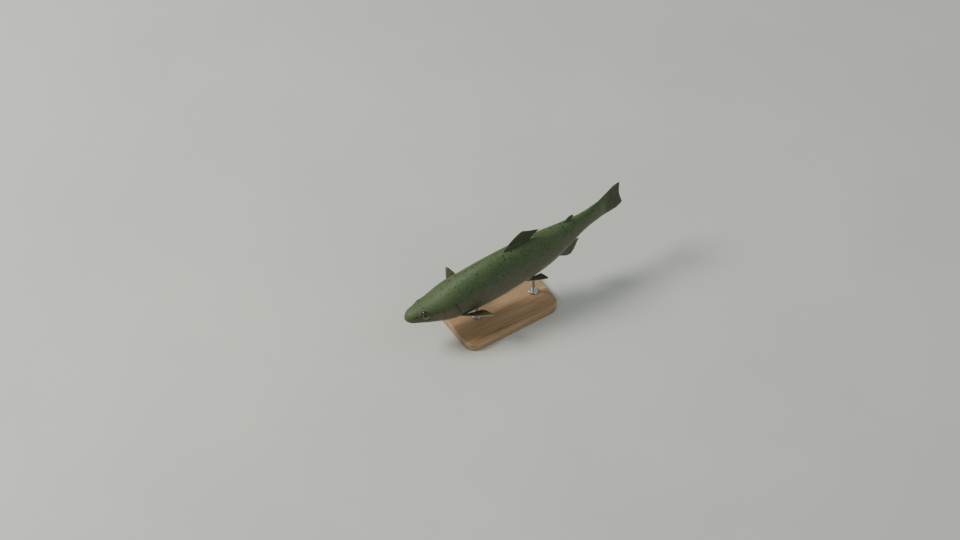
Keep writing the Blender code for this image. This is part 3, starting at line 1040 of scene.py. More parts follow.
@dataclass(frozen=True)
class FinShape:
    """A fan of rays, in the solids' own sizes, and how many rays it has.

    The root's two ends lie behind the snout, but for the tail fin's. Rays and angles are the lengths and
    degrees of the first and last ray. The first rays are shorter by lead, all bend back by curl, and the
    blade leans sideways by cup. A higher fade hollows the free edge, and tip rounds it. A paired fin's
    root lies around the body at these degrees from the back, and the fin droops by some more. bake is
    the fin's place on the unwrap.
    """

    name: str
    kind: FinKind
    rays: tuple[float, float]
    angles: tuple[float, float]
    lead: float
    count: int
    root: tuple[float, float] = (0.0, 0.0)
    curl: float = 12.0
    thick: float = 0.0024
    cup: float = 0.0
    fade: float = 1.0
    tip: float = 0.0
    both_edges: bool = False
    rows: int = 24
    columns_a_ray: int = 8
    bake: tuple[float, float, float, float] = (0.0, 0.0, 0.1, 0.1)
    around: tuple[float, float] = (122.0, 133.0)
    droop: float = 0.0
    side: Side = Side.LEFT


class FinBlade:
    """Models one fin: flesh at its root, then raised rays that branch, with thin web between them."""

    web = 0.30 * MM
    ray = 0.36 * MM
    buried = 0.06

    def __init__(self, fin: FinShape) -> None:
        """Makes the fin's closed slab.

        Args:
            fin: The fin's sizes.
        """
        self.fin = fin
        self.data, uvl = grid_mesh(fin.name, (fin.count * fin.columns_a_ray, fin.rows), slab=True)
        self.u, along, self.layer = uvl.T
        self.v = along * (1 + self.buried) - self.buried
        self.out = np.maximum(self.v, 0)
        phase = 2 * math.pi * self.u * fin.count
        branched = eased(self.v, 0.42, 0.66)
        single, double = (0.5 - 0.5 * np.cos(phase)) ** 1.3, (0.5 - 0.5 * np.cos(2 * phase)) ** 1.3
        self.ridge = single * (1 - branched) + double * branched if fin.count > 1 else np.zeros_like(phase)

    def thickness(self, flesh: float, power: float) -> Array:
        """The blade's thickness at every corner. A fin of flesh alone is a soft lobe.

        Args:
            flesh: What the root adds to web and ray.
            power: How quickly that flesh runs out.

        Returns:
            Thicknesses in metres.
        """
        if self.fin.count == 1:
            dome = np.clip((1 - np.abs(2 * self.u - 1) ** 4) * (1 - self.out**6), 0.02, 1)
            return self.fin.thick * np.sqrt(dome) * (1 - 0.40 * self.out)
        ends = 0.40 + 0.60 * np.sqrt(np.sin(math.pi * np.clip(self.u, 0.02, 0.98)))
        from_edge = np.minimum(self.u, 1 - self.u) if self.fin.both_edges else self.u
        first = 0.30 * MM * bump_at(from_edge, 0.0, 0.02)
        blade = self.web + self.ray * self.ridge * (1 - 0.55 * self.out) + first
        return blade + flesh * ends * (1 - self.out) ** power

    def frayed(self) -> Array:
        """How far the web falls short between the tips of the rays, differently in every gap."""
        lot = 0.5 + 0.5 * np.sin(2.7 * np.round(2 * self.u * self.fin.count))
        return 1 - 0.014 * lot * (1 - self.ridge) * eased(self.v, 0.85, 1.0) * (self.fin.count > 1)

    def lengths(self) -> Array:
        """How long the ray through each corner is.

        Returns:
            The lengths.
        """
        fin, u = self.fin, self.u
        start = 1 - fin.lead * (1 - eased(u, -0.10, 0.16)) ** 1.5
        rounded = 1 - fin.tip * np.abs(2 * u - 1) ** 2.5
        full = fin.rays[1] + (fin.rays[0] - fin.rays[1]) * (1 - u) ** fin.fade
        return full * start * rounded * self.frayed()

    def fan(self, root: Array, tailward: Array, outward: Array, across: Array) -> Array:
        """The corners of a fan of rays.

        Args:
            root: Each corner's place on the root line.
            tailward: The way to the tail.
            outward: The way out of the body.
            across: The way through the fin.

        Returns:
            The points.
        """
        fin = self.fin
        straight = fin.angles[0] + (fin.angles[1] - fin.angles[0]) * self.u
        angle = np.radians(straight - fin.curl * self.out / 2)
        ray = np.cos(angle)[:, None] * tailward + np.sin(angle)[:, None] * outward
        length = self.lengths() * self.v
        thick = self.thickness(fin.thick - 0.6 * MM, 2.0)
        wave = 0.35 * MM * np.sin(2.4 * math.pi * self.u + 1.5 * self.v) * self.out * (fin.count > 1)
        sway = fin.cup * length + thick * (self.layer - 0.5) + wave
        return root + ray * length[:, None] + sway[:, None] * across

    def median(self, up: int) -> Mesh:
        """A fin on the back, up = 1, or under the belly, up = -1.

        Args:
            up: Which way it stands.

        Returns:
            The fin.
        """
        x = self.fin.root[0] + (self.fin.root[1] - self.fin.root[0]) * self.u
        ridge = FORM.back(x) if up > 0 else -FORM.belly(x)
        root = np.stack([x, np.zeros_like(x), ridge + up * FORM.gap], axis=-1)
        points = self.fan(root, np.array([1, 0, 0]), np.array([0, 0, up]), np.array([0, 1, 0]))
        return self.finished(points, np.full_like(x, 0.0 if up > 0 else 1.0))

    def tail(self) -> Mesh:
        """The forked tail fin, whose lobes mirror about the middle ray.

        Returns:
            The fin.
        """
        fin, u = self.fin, self.u
        top, bottom = (0.93 * reach(FORM.length) for reach in (FORM.back, FORM.belly))
        from_edge = 1 - np.abs(2 * u - 1)
        root = np.stack(
            [np.full_like(u, FORM.length + FORM.gap), np.zeros_like(u), top - (bottom + top) * u], axis=-1
        )
        angle = np.radians(fin.angles[0] + (fin.angles[1] - fin.angles[0]) * u)
        angle = angle * (1 - fin.curl / 100 * self.out)
        short = (1 - fin.lead * (1 - eased(from_edge, -0.10, 0.28)) ** 1.5) * self.frayed()
        length = (fin.rays[1] + (fin.rays[0] - fin.rays[1]) * (1 - from_edge) ** fin.fade) * short * self.v
        thick = self.thickness(1.5 * MM, 3.0) * (0.6 + 0.4 * np.sqrt(np.clip(from_edge, 0, 1)))
        wave = 0.4 * MM * np.sin(2 * math.pi * u) * self.out
        sway = fin.cup * length + thick * (self.layer - 0.5) + wave
        blade = np.stack([np.cos(angle) * length, sway, np.sin(angle) * length], axis=-1)
        return self.finished(root + blade, u)

    def paired(self) -> Mesh:
        """A fin whose root lies on a flank.

        Returns:
            The fin.
        """
        fin, right = self.fin, self.fin.side.value
        droop = math.radians(fin.droop)
        outward = np.array([0, right * math.cos(droop), -math.sin(droop)])
        tailward = np.array([1.0, 0, 0])
        x = fin.root[0] + (fin.root[1] - fin.root[0]) * self.u
        turn = np.radians(fin.around[0] + (fin.around[1] - fin.around[0]) * self.u)
        surface = FORM.surface(x, right * turn, FORM.gap)
        blade = self.fan(surface, tailward, outward, np.cross(tailward, outward) * right)
        thick = 0.85 * fin.thick * (0.45 + 0.55 * np.sqrt(np.sin(math.pi * np.clip(self.u, 0.03, 0.97))))
        girth = np.hypot(surface[:, 1], surface[:, 2])
        depth = FORM.gap + 30 * MM * np.minimum(self.v, 0)
        foot = FORM.surface(x, right * (turn + (0.5 - self.layer) * thick / girth), depth)
        free = eased(self.v, 0.0, 0.2)[:, None]
        return self.finished(foot * (1 - free) + blade * free, FORM.share_at(x, turn))

    def finished(self, points: Array, share: Array) -> Mesh:
        """Poses the fin and gives it its notes and its place on the unwrap.

        Args:
            points: Its corners on the straight fish.
            share: How far round the body each ray's root is, as a share of the half girth.

        Returns:
            The fin.
        """
        data, fin = self.data, self.fin
        set_places(data, FORM.posed(points))
        kind = np.full_like(self.u, 1.0 + fin.kind.value)
        set_notes(
            data,
            form=np.stack([points[:, 0], share, kind], axis=-1),
            fine=np.stack([1 - self.ridge, self.u, self.out], axis=-1),
            ray=np.stack([self.u * fin.count, self.out, self.out * max(fin.rays)], axis=-1),
        )
        low, high = np.array(fin.bake[:2]), np.array(fin.bake[2:])
        half = (high[1] - low[1]) / 2
        along, outward = low[0] + (high[0] - low[0]) * self.u, self.layer + 0.96 * np.clip(self.v, 0, 1)
        set_bake_map(data, np.stack([along, low[1] + half * outward], axis=-1))
        data.polygons.foreach_set("material_index", np.ones(len(data.polygons), np.int32))
        merged(data)
        return data


FIN_STRIP = (0.68, 0.89)


def fin_bake(start: float, end: float) -> tuple[float, float, float, float]:
    """A fin's place on the unwrap, between two ends of the strip that the fins share."""
    return (start, FIN_STRIP[0], end, FIN_STRIP[1])


DORSAL = FinShape(
    "dorsal_fin", FinKind.SPOTTED, root=(0.156, 0.197), rays=(0.0370, 0.0195), angles=(42, 26),
    lead=0.60, count=12, thick=0.0026, rows=26, bake=fin_bake(0.01, 0.17),
)
ANAL = FinShape(
    "anal_fin", FinKind.PLAIN, root=(0.2335, 0.2625), rays=(0.0310, 0.0145), angles=(50, 30),
    lead=0.50, count=10, thick=0.0022, rows=22, bake=fin_bake(0.18, 0.28),
)
ADIPOSE = FinShape(
    "adipose_fin", FinKind.SPOTTED, root=(0.2555, 0.2640), rays=(0.0135, 0.0100), angles=(50, 27),
    lead=0.10, count=1, curl=30.0, thick=0.0028, tip=0.42, rows=20, columns_a_ray=26,
    bake=fin_bake(0.29, 0.34),
)
CAUDAL = FinShape(
    "caudal_fin", FinKind.SPOTTED, rays=(0.0480, 0.0425), angles=(13, -13),
    lead=0.36, count=19, curl=4.0, cup=0.05, fade=1.5, both_edges=True, rows=30, bake=fin_bake(0.35, 0.58),
)
PECTORALS = tuple(
    FinShape(
        f"pectoral_fin_{side.word}", FinKind.PLAIN, root=(0.0725, 0.0815), rays=rays, angles=angles,
        lead=0.10, count=14, curl=10.0, cup=-0.08, rows=22, droop=droop, side=side,
        bake=fin_bake(start, start + 0.11),
    )
    for side, rays, angles, droop, start in (
        (Side.LEFT, (0.0460, 0.0210), (42, 17), -14, 0.59),
        (Side.RIGHT, (0.0450, 0.0210), (72, 37), -17, 0.71),
    )
)
PELVICS = tuple(
    FinShape(
        f"pelvic_fin_{side.word}", FinKind.PLAIN, root=(0.1765, 0.1840), rays=(0.0325, 0.0170),
        angles=(31, 9), lead=0.10, count=9, curl=8.0, cup=-0.06, rows=20, around=(153.0, 158.0),
        droop=droop, side=side, bake=fin_bake(start, start + 0.075),
    )
    for side, droop, start in ((Side.LEFT, 3, 0.83), (Side.RIGHT, 10, 0.915))
)


@dataclass
class TroutHide:
    """The whole hide: body, head trim and fins, joined as one piece."""

    body: BodyHide = field(default_factory=BodyHide)
    trim: HeadTrim = field(default_factory=HeadTrim)
    flesh: tuple[str, ...] = (
        "head", "lower_jaw", "upper_jaw_left", "upper_jaw_right", "gill_cover_left", "gill_cover_right",
        "trunk_front", "trunk_rear", "tail_stalk", "dorsal_fin", "adipose_fin", "anal_fin", "caudal_fin",
        "pectoral_fin_left", "pectoral_fin_right", "pelvic_fin_left", "pelvic_fin_right",
    )

    def fins(self) -> list[Mesh]:
        """Models every fin.

        Returns:
            The fins.
        """
        made = []
        for fin, up in ((DORSAL, 1), (ADIPOSE, 1), (ANAL, -1)):
            made.append(FinBlade(fin).median(up))
        made.append(FinBlade(CAUDAL).tail())
        for fin in PECTORALS + PELVICS:
            made.append(FinBlade(fin).paired())
        return made

    def build(self, hide: Material, web: Material) -> Object:
        """Models the hide and stands it in for the nodes of flesh.

        Args:
            hide: The finish of the bare skin.
            web: The finish of the fins.

        Returns:
            The piece.
        """
        data = joined("trout_hide", [self.body.build(), *self.trim.build(), *self.fins()])
        smooth(data, 75.0)
        made = object_of("trout_hide", data, hide, web)
        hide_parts(*self.flesh)
        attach(made, BODY)
        return made


# The coat of scales
# ------------------


@dataclass(frozen=True)
class Plate:
    """One thin scale. Lengths along it are shares of the pitch, and across it of the row's height."""

    front: float = -0.85
    rear: float = 0.92
    broad: float = 0.66
    front_narrowing: float = 0.42
    segments: int = 12
    rise: float = 0.150 * MM
    crown: float = 0.060 * MM
    thick: float = 0.090 * MM
    crown_at: float = 0.16
    lift: float = 0.0
    unevenness: float = 1.0

    @cached_property
    def template(self) -> tuple[Array, Array]:
        """The plate, a flat double cone with a soft rim.

        Returns:
            Its corners, as tailward, across and out, and its triangles.
        """
        mesh = bmesh.new()
        bmesh.ops.create_uvsphere(mesh, u_segments=self.segments, v_segments=2, radius=1)
        mesh.verts.index_update()
        unit = np.array([v.co for v in mesh.verts])
        faces = np.array([[v.index for v in f.verts] for f in mesh.faces])
        mesh.free()
        on_rim = np.abs(unit[:, 2]) < 0.5
        middle, half = (self.rear + self.front) / 2, (self.rear - self.front) / 2
        along = np.where(on_rim, middle + half * unit[:, 0], self.crown_at)
        narrow = 1 - self.front_narrowing * eased(-unit[:, 0], 0.1, 1.0)
        across = np.where(on_rim, self.broad * unit[:, 1] * narrow, 0.0)
        out = self.lift + self.rise * (along - self.front)
        out += np.where(on_rim, 0.0, np.where(unit[:, 2] > 0, self.crown, -self.thick))
        return np.stack([along, across, out], axis=-1), faces


LINE_PORE = Plate(
    front=-0.10, rear=0.72, broad=0.13, front_narrowing=0.0, segments=6,
    crown=0.11 * MM, thick=0.02 * MM, crown_at=0.35,
)
RIDGE_PLATE = Plate(broad=1.02, front_narrowing=0.30, crown=0.080 * MM, lift=0.075 * MM, unevenness=0.25)


@dataclass
class ScaleCoat:
    """Rows of overlapping plates over the trunk, from the gill slit to the root of the tail fin."""

    hide: BodyHide
    plate: Plate = field(default_factory=Plate)
    pitch: float = 1.84 * MM
    row: float = 1.74 * MM
    first: float = 0.0455
    last: float = 0.3245
    split: float = 0.1480
    lift: float = 0.03 * MM
    bake_patch: float = 0.0015
    seed: int = 11

    def stations(self) -> Array:
        """Places half a pitch apart, closer over the nape and towards the tail.

        Returns:
            Distances behind the snout.
        """
        found = [self.first]
        while found[-1] < self.last:
            x = found[-1]
            closer = (0.80 + 0.20 * eased(x, 0.06, 0.10)) * (1 - 0.36 * eased(x, 0.19, 0.32))
            found.append(x + self.pitch / 2 * float(closer))
        return np.array(found)

    def line(self, x: Array) -> Array:
        """The way from the back down to the lateral line."""
        return (0.455 + 0.040 * eased(x, 0.07, 0.14)) * FORM.half_girth(x)

    def row_height(self, x: Array) -> Array:
        """The height of a row, lower where the body is slender."""
        return self.row * (0.48 + 0.52 * FORM.half_girth(x) / FORM.half_girth(np.array(0.155)))

    def in_reach(self, x: Array, share: Array) -> Array:
        """Whether a place lies between the gill slit and the rounded edge of the flesh on the tail fin.

        Args:
            x: Distances behind the snout.
            share: Shares of the half girth.

        Returns:
            True where it does.
        """
        below = np.clip(share, 0, 1)
        start = HEAD.edge_at(HEAD.gill, below)
        start = start + 0.9 * MM * HEAD.slit(below) + 1.8 * MM * eased(below, 0.70, 0.84)
        return (x > start) & (x < self.last - 5.0 * MM * (2 * share - 1) ** 2)

    def lattice(self) -> tuple[Array, Array]:
        """The plates of one flank.

        Returns:
            Their distances behind the snout, and their row numbers below the lateral line.
        """
        stations, xs, rows = self.stations(), [], []
        for row in range(-40, 44):
            x = stations[row % 2 :: 2]
            whole, height = FORM.half_girth(x), self.row_height(x)
            girth = self.line(x) + row * height
            kept = (girth > 0.5 * height) & (girth < whole - 0.5 * height) & self.in_reach(x, girth / whole)
            xs.append(x[kept])
            rows.append(np.full(kept.sum(), row))
        return np.concatenate(xs), np.concatenate(rows)

    def ridges(self) -> tuple[Array, Array]:
        """The plates that straddle the back and the belly.

        Returns:
            What lattice() gives for a flank.
        """
        x = np.tile(self.stations()[::2], 2)
        share = np.repeat((0.0, 1.0), len(x) // 2)
        row = (share * FORM.half_girth(x) - self.line(x)) / self.row_height(x)
        kept = self.in_reach(x, share)
        return x[kept], row[kept]

    def placed(self, x: Array, row: Array, plate: Plate, side: Side, lots: Array) -> dict[str, Array]:
        """Lays copies of a plate on the straight body.

        Args:
            x: Each copy's distance behind the snout.
            row: Its row.
            plate: The plate.
            side: The flank.
            lots: Three random numbers from 0 to 1 for each copy.

        Returns:
            The corners, the triangles, the notes and the unwrap.
        """
        template, faces = plate.template
        closer = np.gradient(self.stations(), edge_order=1) * 2
        pitch = np.interp(x, self.stations(), closer)[:, None]
        uneven = plate.unevenness * (lots - 0.5)
        size, twist = 1 + 0.08 * uneven[:, :1], np.radians(8 * uneven[:, 1:2])
        along, across, out = template.T
        tailward = size * (along * np.cos(twist) - across * np.sin(twist))
        downward = size * (along * np.sin(twist) + across * np.cos(twist))
        behind = x[:, None] + tailward * pitch
        girth = self.line(behind) + (row[:, None] + downward) * self.row_height(behind)
        share = girth / FORM.half_girth(behind)
        edge = HEAD.edge_at(HEAD.gill, np.clip(share, 0, 1))
        level = out - self.hide.coat_depth - self.hide.dip(behind - edge, np.clip(share, 0, 1))
        level = level + self.lift * uneven[:, 2:3]
        turn = side.value * FORM.turn_at(behind, share)
        points = FORM.posed(FORM.surface(behind, turn, level))
        # buried_shade: painted shade over the plate's front, which lies under the plate ahead.
        nothing, buried_shade, lot, rear, back_on, sideways = np.broadcast_arrays(
            0.0 * behind, np.clip(0.1 - along, 0, 1), lots[:, :1], np.clip(along, 0, 1), along, across
        )
        start, end = (self.first, self.split) if x.min() < self.split else (self.split, self.last)
        down = (self.line(x) + row * self.row_height(x)) / FORM.half_girth(x)
        root = np.stack([(x - start) / (end - start), down], axis=-1)
        local = np.stack([back_on, sideways], axis=-1) * self.bake_patch
        first_corner = len(template) * np.arange(len(x))[:, None, None]
        return {
            "points": points.reshape(-1, 3),
            "faces": (faces[None] + first_corner).reshape(-1, 3),
            "form": np.stack([behind, np.clip(np.abs(share), 0, 1), nothing], axis=-1).reshape(-1, 3),
            "fine": np.stack([buried_shade, lot, rear], axis=-1).reshape(-1, 3),
            "ray": np.stack([back_on, sideways, nothing], axis=-1).reshape(-1, 3),
            "bake": (0.01 + 0.98 * np.clip(root, 0, 1)[:, None] + local).reshape(-1, 2),
        }

    def build(self, finish: Material) -> list[Object]:
        """Models the four coats, front and rear of each flank.

        Args:
            finish: The finish of the scales.

        Returns:
            The pieces.
        """
        rng = np.random.default_rng(self.seed)
        x, row = self.lattice()
        made = []
        for side in Side:
            sets = [(x, row, self.plate), (x[row == 0], row[row == 0], LINE_PORE)]
            if side is Side.LEFT:
                sets.append((*self.ridges(), RIDGE_PLATE))
            drawn = [(*one, rng.random((len(one[0]), 3))) for one in sets]
            for word, low, high in (("front", 0.0, self.split), ("rear", self.split, self.last)):
                laid = [
                    self.placed(at[kept], rank[kept], plate, side, lots[kept])
                    for at, rank, plate, lots in drawn
                    for kept in [(at >= low) & (at < high)]
                ]
                made.append(self.piece(f"scales_{side.word}_{word}", laid, finish))
        return made

    def piece(self, name: str, sets: list[dict[str, Array]], finish: Material) -> Object:
        """Joins sets of plates as one piece.

        Args:
            name: The piece's name.
            sets: What placed() gave.
            finish: The finish of the scales.

        Returns:
            The piece.
        """
        starts = np.cumsum([0] + [len(s["points"]) for s in sets[:-1]])
        faces = np.concatenate([s["faces"] + start for s, start in zip(sets, starts)]).astype(np.int32)
        keys = ("points", "form", "fine", "ray", "bake")
        whole = {key: np.concatenate([s[key] for s in sets]) for key in keys}
        data = bpy.data.meshes.new(name)
        data.vertices.add(len(whole["points"]))
        data.loops.add(faces.size)
        data.polygons.add(len(faces))
        data.loops.foreach_set("vertex_index", faces.ravel())
        data.polygons.foreach_set("loop_start", np.arange(0, faces.size, 3, dtype=np.int32))
        set_places(data, whole["points"])
        data.validate()
        set_notes(data, form=whole["form"], fine=whole["fine"], ray=whole["ray"])
        set_bake_map(data, whole["bake"])
        merged(data, reach=1e-9)
        smooth(data)
        made = object_of(name, data, finish)
        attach(made, BODY)
        return made


# Eyes
# ----


@dataclass
class TroutEye:
    """An eyeball set into the head, with its iris round a wide pupil."""

    side: Side
    segments: tuple[int, int] = (72, 40)
    lens: float = 0.10
    pupil: float = 0.47

    def build(self, finish: Material) -> Object:
        """Models the eyeball and stands it in for the solid one.

        Args:
            finish: The finish of the eye.

        Returns:
            The piece.
        """
        mesh = bmesh.new()
        bmesh.ops.create_uvsphere(mesh, u_segments=self.segments[0], v_segments=self.segments[1], radius=1)
        data = mesh_from(f"eye_{self.side.word}_glass", mesh)
        unit = places_of(data)
        here, outward = HEAD.eye_place(self.side.value)
        ahead = Vector((-1, 0, 0))
        ahead = (ahead - outward * ahead.dot(outward)).normalized()
        above = outward.cross(ahead) * (1 if outward.cross(ahead).z > 0 else -1)
        middle = np.array(here - outward * (HEAD.eye_depth - HEAD.eye_proud))
        away = np.hypot(unit[:, 0], unit[:, 1])
        dome = unit[:, 2] * (1 + self.lens * (1 - eased(away, 0.2, self.pupil + 0.1)) * (unit[:, 2] > 0))
        radius, depth = HEAD.eye_radius, HEAD.eye_depth
        points = middle + radius * (unit[:, :1] * np.array(ahead) + unit[:, 1:2] * np.array(above))
        points += depth * dome[:, None] * np.array(outward)
        set_places(data, FORM.posed(points))
        set_notes(data, gaze=unit)
        merged(data)
        smooth(data, 80.0)
        made = object_of(data.name, data, finish)
        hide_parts(f"eye_{self.side.word}")
        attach(made, BODY)
        return made


# The stand
# ---------


@dataclass
class DisplayStand:
    """A wooden base with two steel rods in turned collars."""

    corner: float = 0.016
    upper_edge: float = 0.0018
    lower_edge: float = 0.0006
    rod_into_body: float = 0.0016
    collar_edge: float = 0.0008
    screw: tuple[float, float] = (0.0011, 0.0008)

    def piece(self, mesh: BMesh, node: str, finish: Material, slot: str) -> Object:
        """Turns a mesh into the piece that stands for a node.

        Args:
            mesh: The mesh, already in place.
            node: The node it stands for.
            finish: Its finish.
            slot: Not used.

        Returns:
            The piece.
        """
        bmesh.ops.recalc_face_normals(mesh, faces=mesh.faces)
        data = mesh_from(f"{node}_finished", mesh)
        smooth(data, 32.0)
        made = object_of(data.name, data, finish)
        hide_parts(node)
        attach(made, BODY)
        return made

    def base(self, finish: Material) -> Object:
        """The board, with rounded corners, a softened upper edge and a broken lower one.

        Args:
            finish: The wood.

        Returns:
            The piece.
        """
        low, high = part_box("stand_base")
        mesh = bmesh.new()
        bmesh.ops.create_cube(mesh, size=1)
        bmesh.ops.scale(mesh, vec=high - low, verts=mesh.verts)
        bmesh.ops.translate(mesh, vec=(low + high) / 2, verts=mesh.verts)
        tall = (high.z - low.z) / 2
        uprights = [e for e in mesh.edges if abs(e.verts[0].co.z - e.verts[1].co.z) > tall]
        round_off(mesh, uprights, self.corner, 14)
        for level, edge, steps in ((high.z, self.upper_edge, 6), (low.z, self.lower_edge, 2)):
            rim = [e for e in mesh.edges if max(abs(v.co.z - level) for v in e.verts) < TINY]
            round_off(mesh, rim, edge, steps)
        return self.piece(mesh, "stand_base", finish, "wood")

    def post(self, name: str, finish: Material) -> list[Object]:
        """A rod and its collar.

        Args:
            name: front or rear.
            finish: The steel.

        Returns:
            The two pieces.
        """
        made = []
        for part, rise, edge in (("rod", self.rod_into_body, 0.0), ("collar", 0.0, self.collar_edge)):
            low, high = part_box(f"stand_{part}_{name}")
            radius, tall = (high.x - low.x) / 2, high.z + rise - low.z
            middle = Vector(((low.x + high.x) / 2, (low.y + high.y) / 2, low.z + tall / 2))
            mesh = bmesh.new()
            bmesh.ops.create_cone(
                mesh, cap_ends=True, segments=64, radius1=radius, radius2=radius, depth=tall
            )
            if edge:
                rims = [e for e in mesh.edges if abs(e.verts[0].co.z - e.verts[1].co.z) < TINY]
                upper = [e for e in rims if e.verts[0].co.z > 0]
                round_off(mesh, upper, edge, 4)
                self.grub_screw(mesh, radius)
            bmesh.ops.translate(mesh, vec=middle, verts=mesh.verts)
            made.append(self.piece(mesh, f"stand_{part}_{name}", finish, "steel"))
        return made

    def grub_screw(self, mesh: BMesh, radius: float) -> None:
        """Adds the small screw that holds the rod, in the side of its collar.

        Args:
            mesh: The collar.
            radius: The collar's radius.
        """
        broad, proud = self.screw
        turn = Matrix.Translation((0, -radius, -0.0003)) @ Matrix.Rotation(math.radians(90), 4, "X")
        made = bmesh.ops.create_cone(
            mesh, cap_ends=True, segments=24, radius1=broad, radius2=broad, depth=proud, matrix=turn
        )
        faces = {f for v in made["verts"] for f in v.link_faces}
        front = min((f for f in faces if len(f.verts) == 24), key=lambda f: f.calc_center_median().y)
        bmesh.ops.inset_region(mesh, faces=[front], thickness=0.45 * broad, use_even_offset=True)
        bmesh.ops.translate(mesh, verts=front.verts[:], vec=(0, 0.6 * proud, 0))

    def build(self, wood: Material, steel: Material) -> list[Object]:
        """Models the whole stand."""
        return [self.base(wood), *self.post("front", steel), *self.post("rear", steel)]


# Finishes
# --------

Colour = tuple[float, float, float]
Socket = NodeSocket
Number = Socket | float
Tone = Socket | Colour


class Bench:
    """A material's nodes, with short ways to wire them."""

    def __init__(self, name: str, **numbers: float | Colour) -> None:
        """Starts a material.

        Args:
            name: The finish's name.
            numbers: What is the same all over, by the shader's socket, with _ for each space.
        """
        self.material = bpy.data.materials.new(name)
        self.material.use_nodes = True
        self.tree = self.material.node_tree
        self.shader = self.tree.nodes["Principled BSDF"]
        for key, value in numbers.items():
            self.set(self.shader.inputs[key.replace("_", " ")], value)

    def set(self, socket: Socket, value: object) -> None:
        """Links a socket, or gives it a number or a colour.

        Args:
            socket: The socket.
            value: The link, the number or the colour.
        """
        if isinstance(value, Socket):
            self.tree.links.new(value, socket)
        elif isinstance(value, tuple) and len(value) == 3 and socket.type == "RGBA":
            socket.default_value = (*value, 1.0)
        else:
            socket.default_value = value

    def node(self, kind: str, inputs: dict[int | str, object] | None = None, **settings: object) -> Node:
        """Adds a node.

        Args:
            kind: The node's type, without its ShaderNode.
            inputs: Links and numbers for its sockets.
            settings: Its options.

        Returns:
            The node.
        """
        made = self.tree.nodes.new(f"ShaderNode{kind}")
        for key, value in settings.items():
            setattr(made, key, value)
        for key, value in (inputs or {}).items():
            self.set(made.inputs[key], value)
        return made

    def math(self, operation: str, *values: Number) -> Socket:
        """Adds a sum, and gives its result."""
        return self.node("Math", dict(enumerate(values)), operation=operation).outputs[0]

    def note(self, name: str) -> tuple[Socket, Socket, Socket]:
        """The three numbers of a note that the mesh carries.

        Args:
            name: The note's name.

        Returns:
            The numbers.
        """
        read = self.node("Attribute", attribute_name=name)
        parts = self.node("SeparateXYZ", {0: read.outputs["Vector"]})
        return parts.outputs[0], parts.outputs[1], parts.outputs[2]

    def place(self) -> Socket:
        """Where the point is on the finished model."""
        return self.node("TexCoord").outputs["Object"]

    def stretched(self, vector: Socket, scale: Colour, turn: Colour = (0.0, 0.0, 0.0)) -> Socket:
        """The vector, scaled and turned."""
        return self.node("Mapping", {0: vector, "Rotation": turn, "Scale": scale}).outputs[0]

    def noise(self, vector: Socket, scale: float, detail: float = 3.0, roughness: float = 0.55) -> Socket:
        """Soft noise, from 0 to 1."""
        return self.node(
            "TexNoise", {"Vector": vector, "Scale": scale, "Detail": detail, "Roughness": roughness}
        ).outputs["Fac"]

    def rise(self, value: Socket, start: Number, end: Number, low: float = 0.0, high: float = 1.0) -> Socket:
        """A smooth rise from low to high between start and end."""
        return self.node(
            "MapRange", {0: value, 1: start, 2: end, 3: low, 4: high}, interpolation_type="SMOOTHSTEP"
        ).outputs[0]

    def without(self, value: Socket) -> Socket:
        """What is left of 1."""
        return self.math("SUBTRACT", 1.0, value)

    def fall(self, value: Socket, start: Number, end: Number) -> Socket:
        """A smooth fall from 1 to 0 between start and end."""
        return self.without(self.rise(value, start, end))

    def times(self, product: Socket, *factors: Number) -> Socket:
        """The product of some values.

        Args:
            product: The first of them.
            factors: The others.

        Returns:
            The product.
        """
        for factor in factors:
            product = self.math("MULTIPLY", product, factor)
        return product

    def off(self, value: Socket, middle: Number) -> Socket:
        """How far a value is from the middle."""
        return self.math("ABSOLUTE", self.math("SUBTRACT", value, middle))

    def paint(self, colour: Socket, roughness: Socket) -> None:
        """Gives the shader its colour and roughness."""
        self.set(self.shader.inputs["Base Color"], colour)
        self.set(self.shader.inputs["Roughness"], roughness)

    def mix(self, share: Number, first: Tone, second: Tone, blend: str = "MIX") -> Socket:
        """Mixes two colours.

        Args:
            share: How much of the second there is.
            first: The first colour.
            second: The second.
            blend: How they blend.

        Returns:
            The mixed colour.
        """
        made = self.node("Mix", data_type="RGBA", blend_type=blend, clamp_factor=True)
        self.set(made.inputs[0], share)
        self.set(made.inputs[6], first)
        self.set(made.inputs[7], second)
        return made.outputs[2]

    def ramp(self, value: Socket, stops: Sequence[tuple[float, Colour]]) -> Socket:
        """Colours along a value from 0 to 1.

        Args:
            value: The value.
            stops: The colours, each with its place.

        Returns:
            The colour.
        """
        made = self.node("ValToRGB", {0: value})
        made.color_ramp.interpolation = "EASE"
        for _ in range(len(stops) - 2):
            made.color_ramp.elements.new(0.5)
        for element, (at, colour) in zip(made.color_ramp.elements, stops, strict=True):
            element.position, element.color = at, (*colour, 1.0)
        return made.outputs[0]

    def bumped(self, *layers: tuple[Socket, float]) -> None:
        """Gives the shader bumps.

        Args:
            layers: Heights from 0 to 1, each with its depth in metres.
        """
        normal: Socket | None = None
        for height, depth in layers:
            inputs: dict[int | str, object] = {"Height": height, "Distance": depth, "Strength": 1.0}
            if normal is not None:
                inputs["Normal"] = normal
            normal = self.node("Bump", inputs).outputs[0]
        self.set(self.shader.inputs["Normal"], normal)


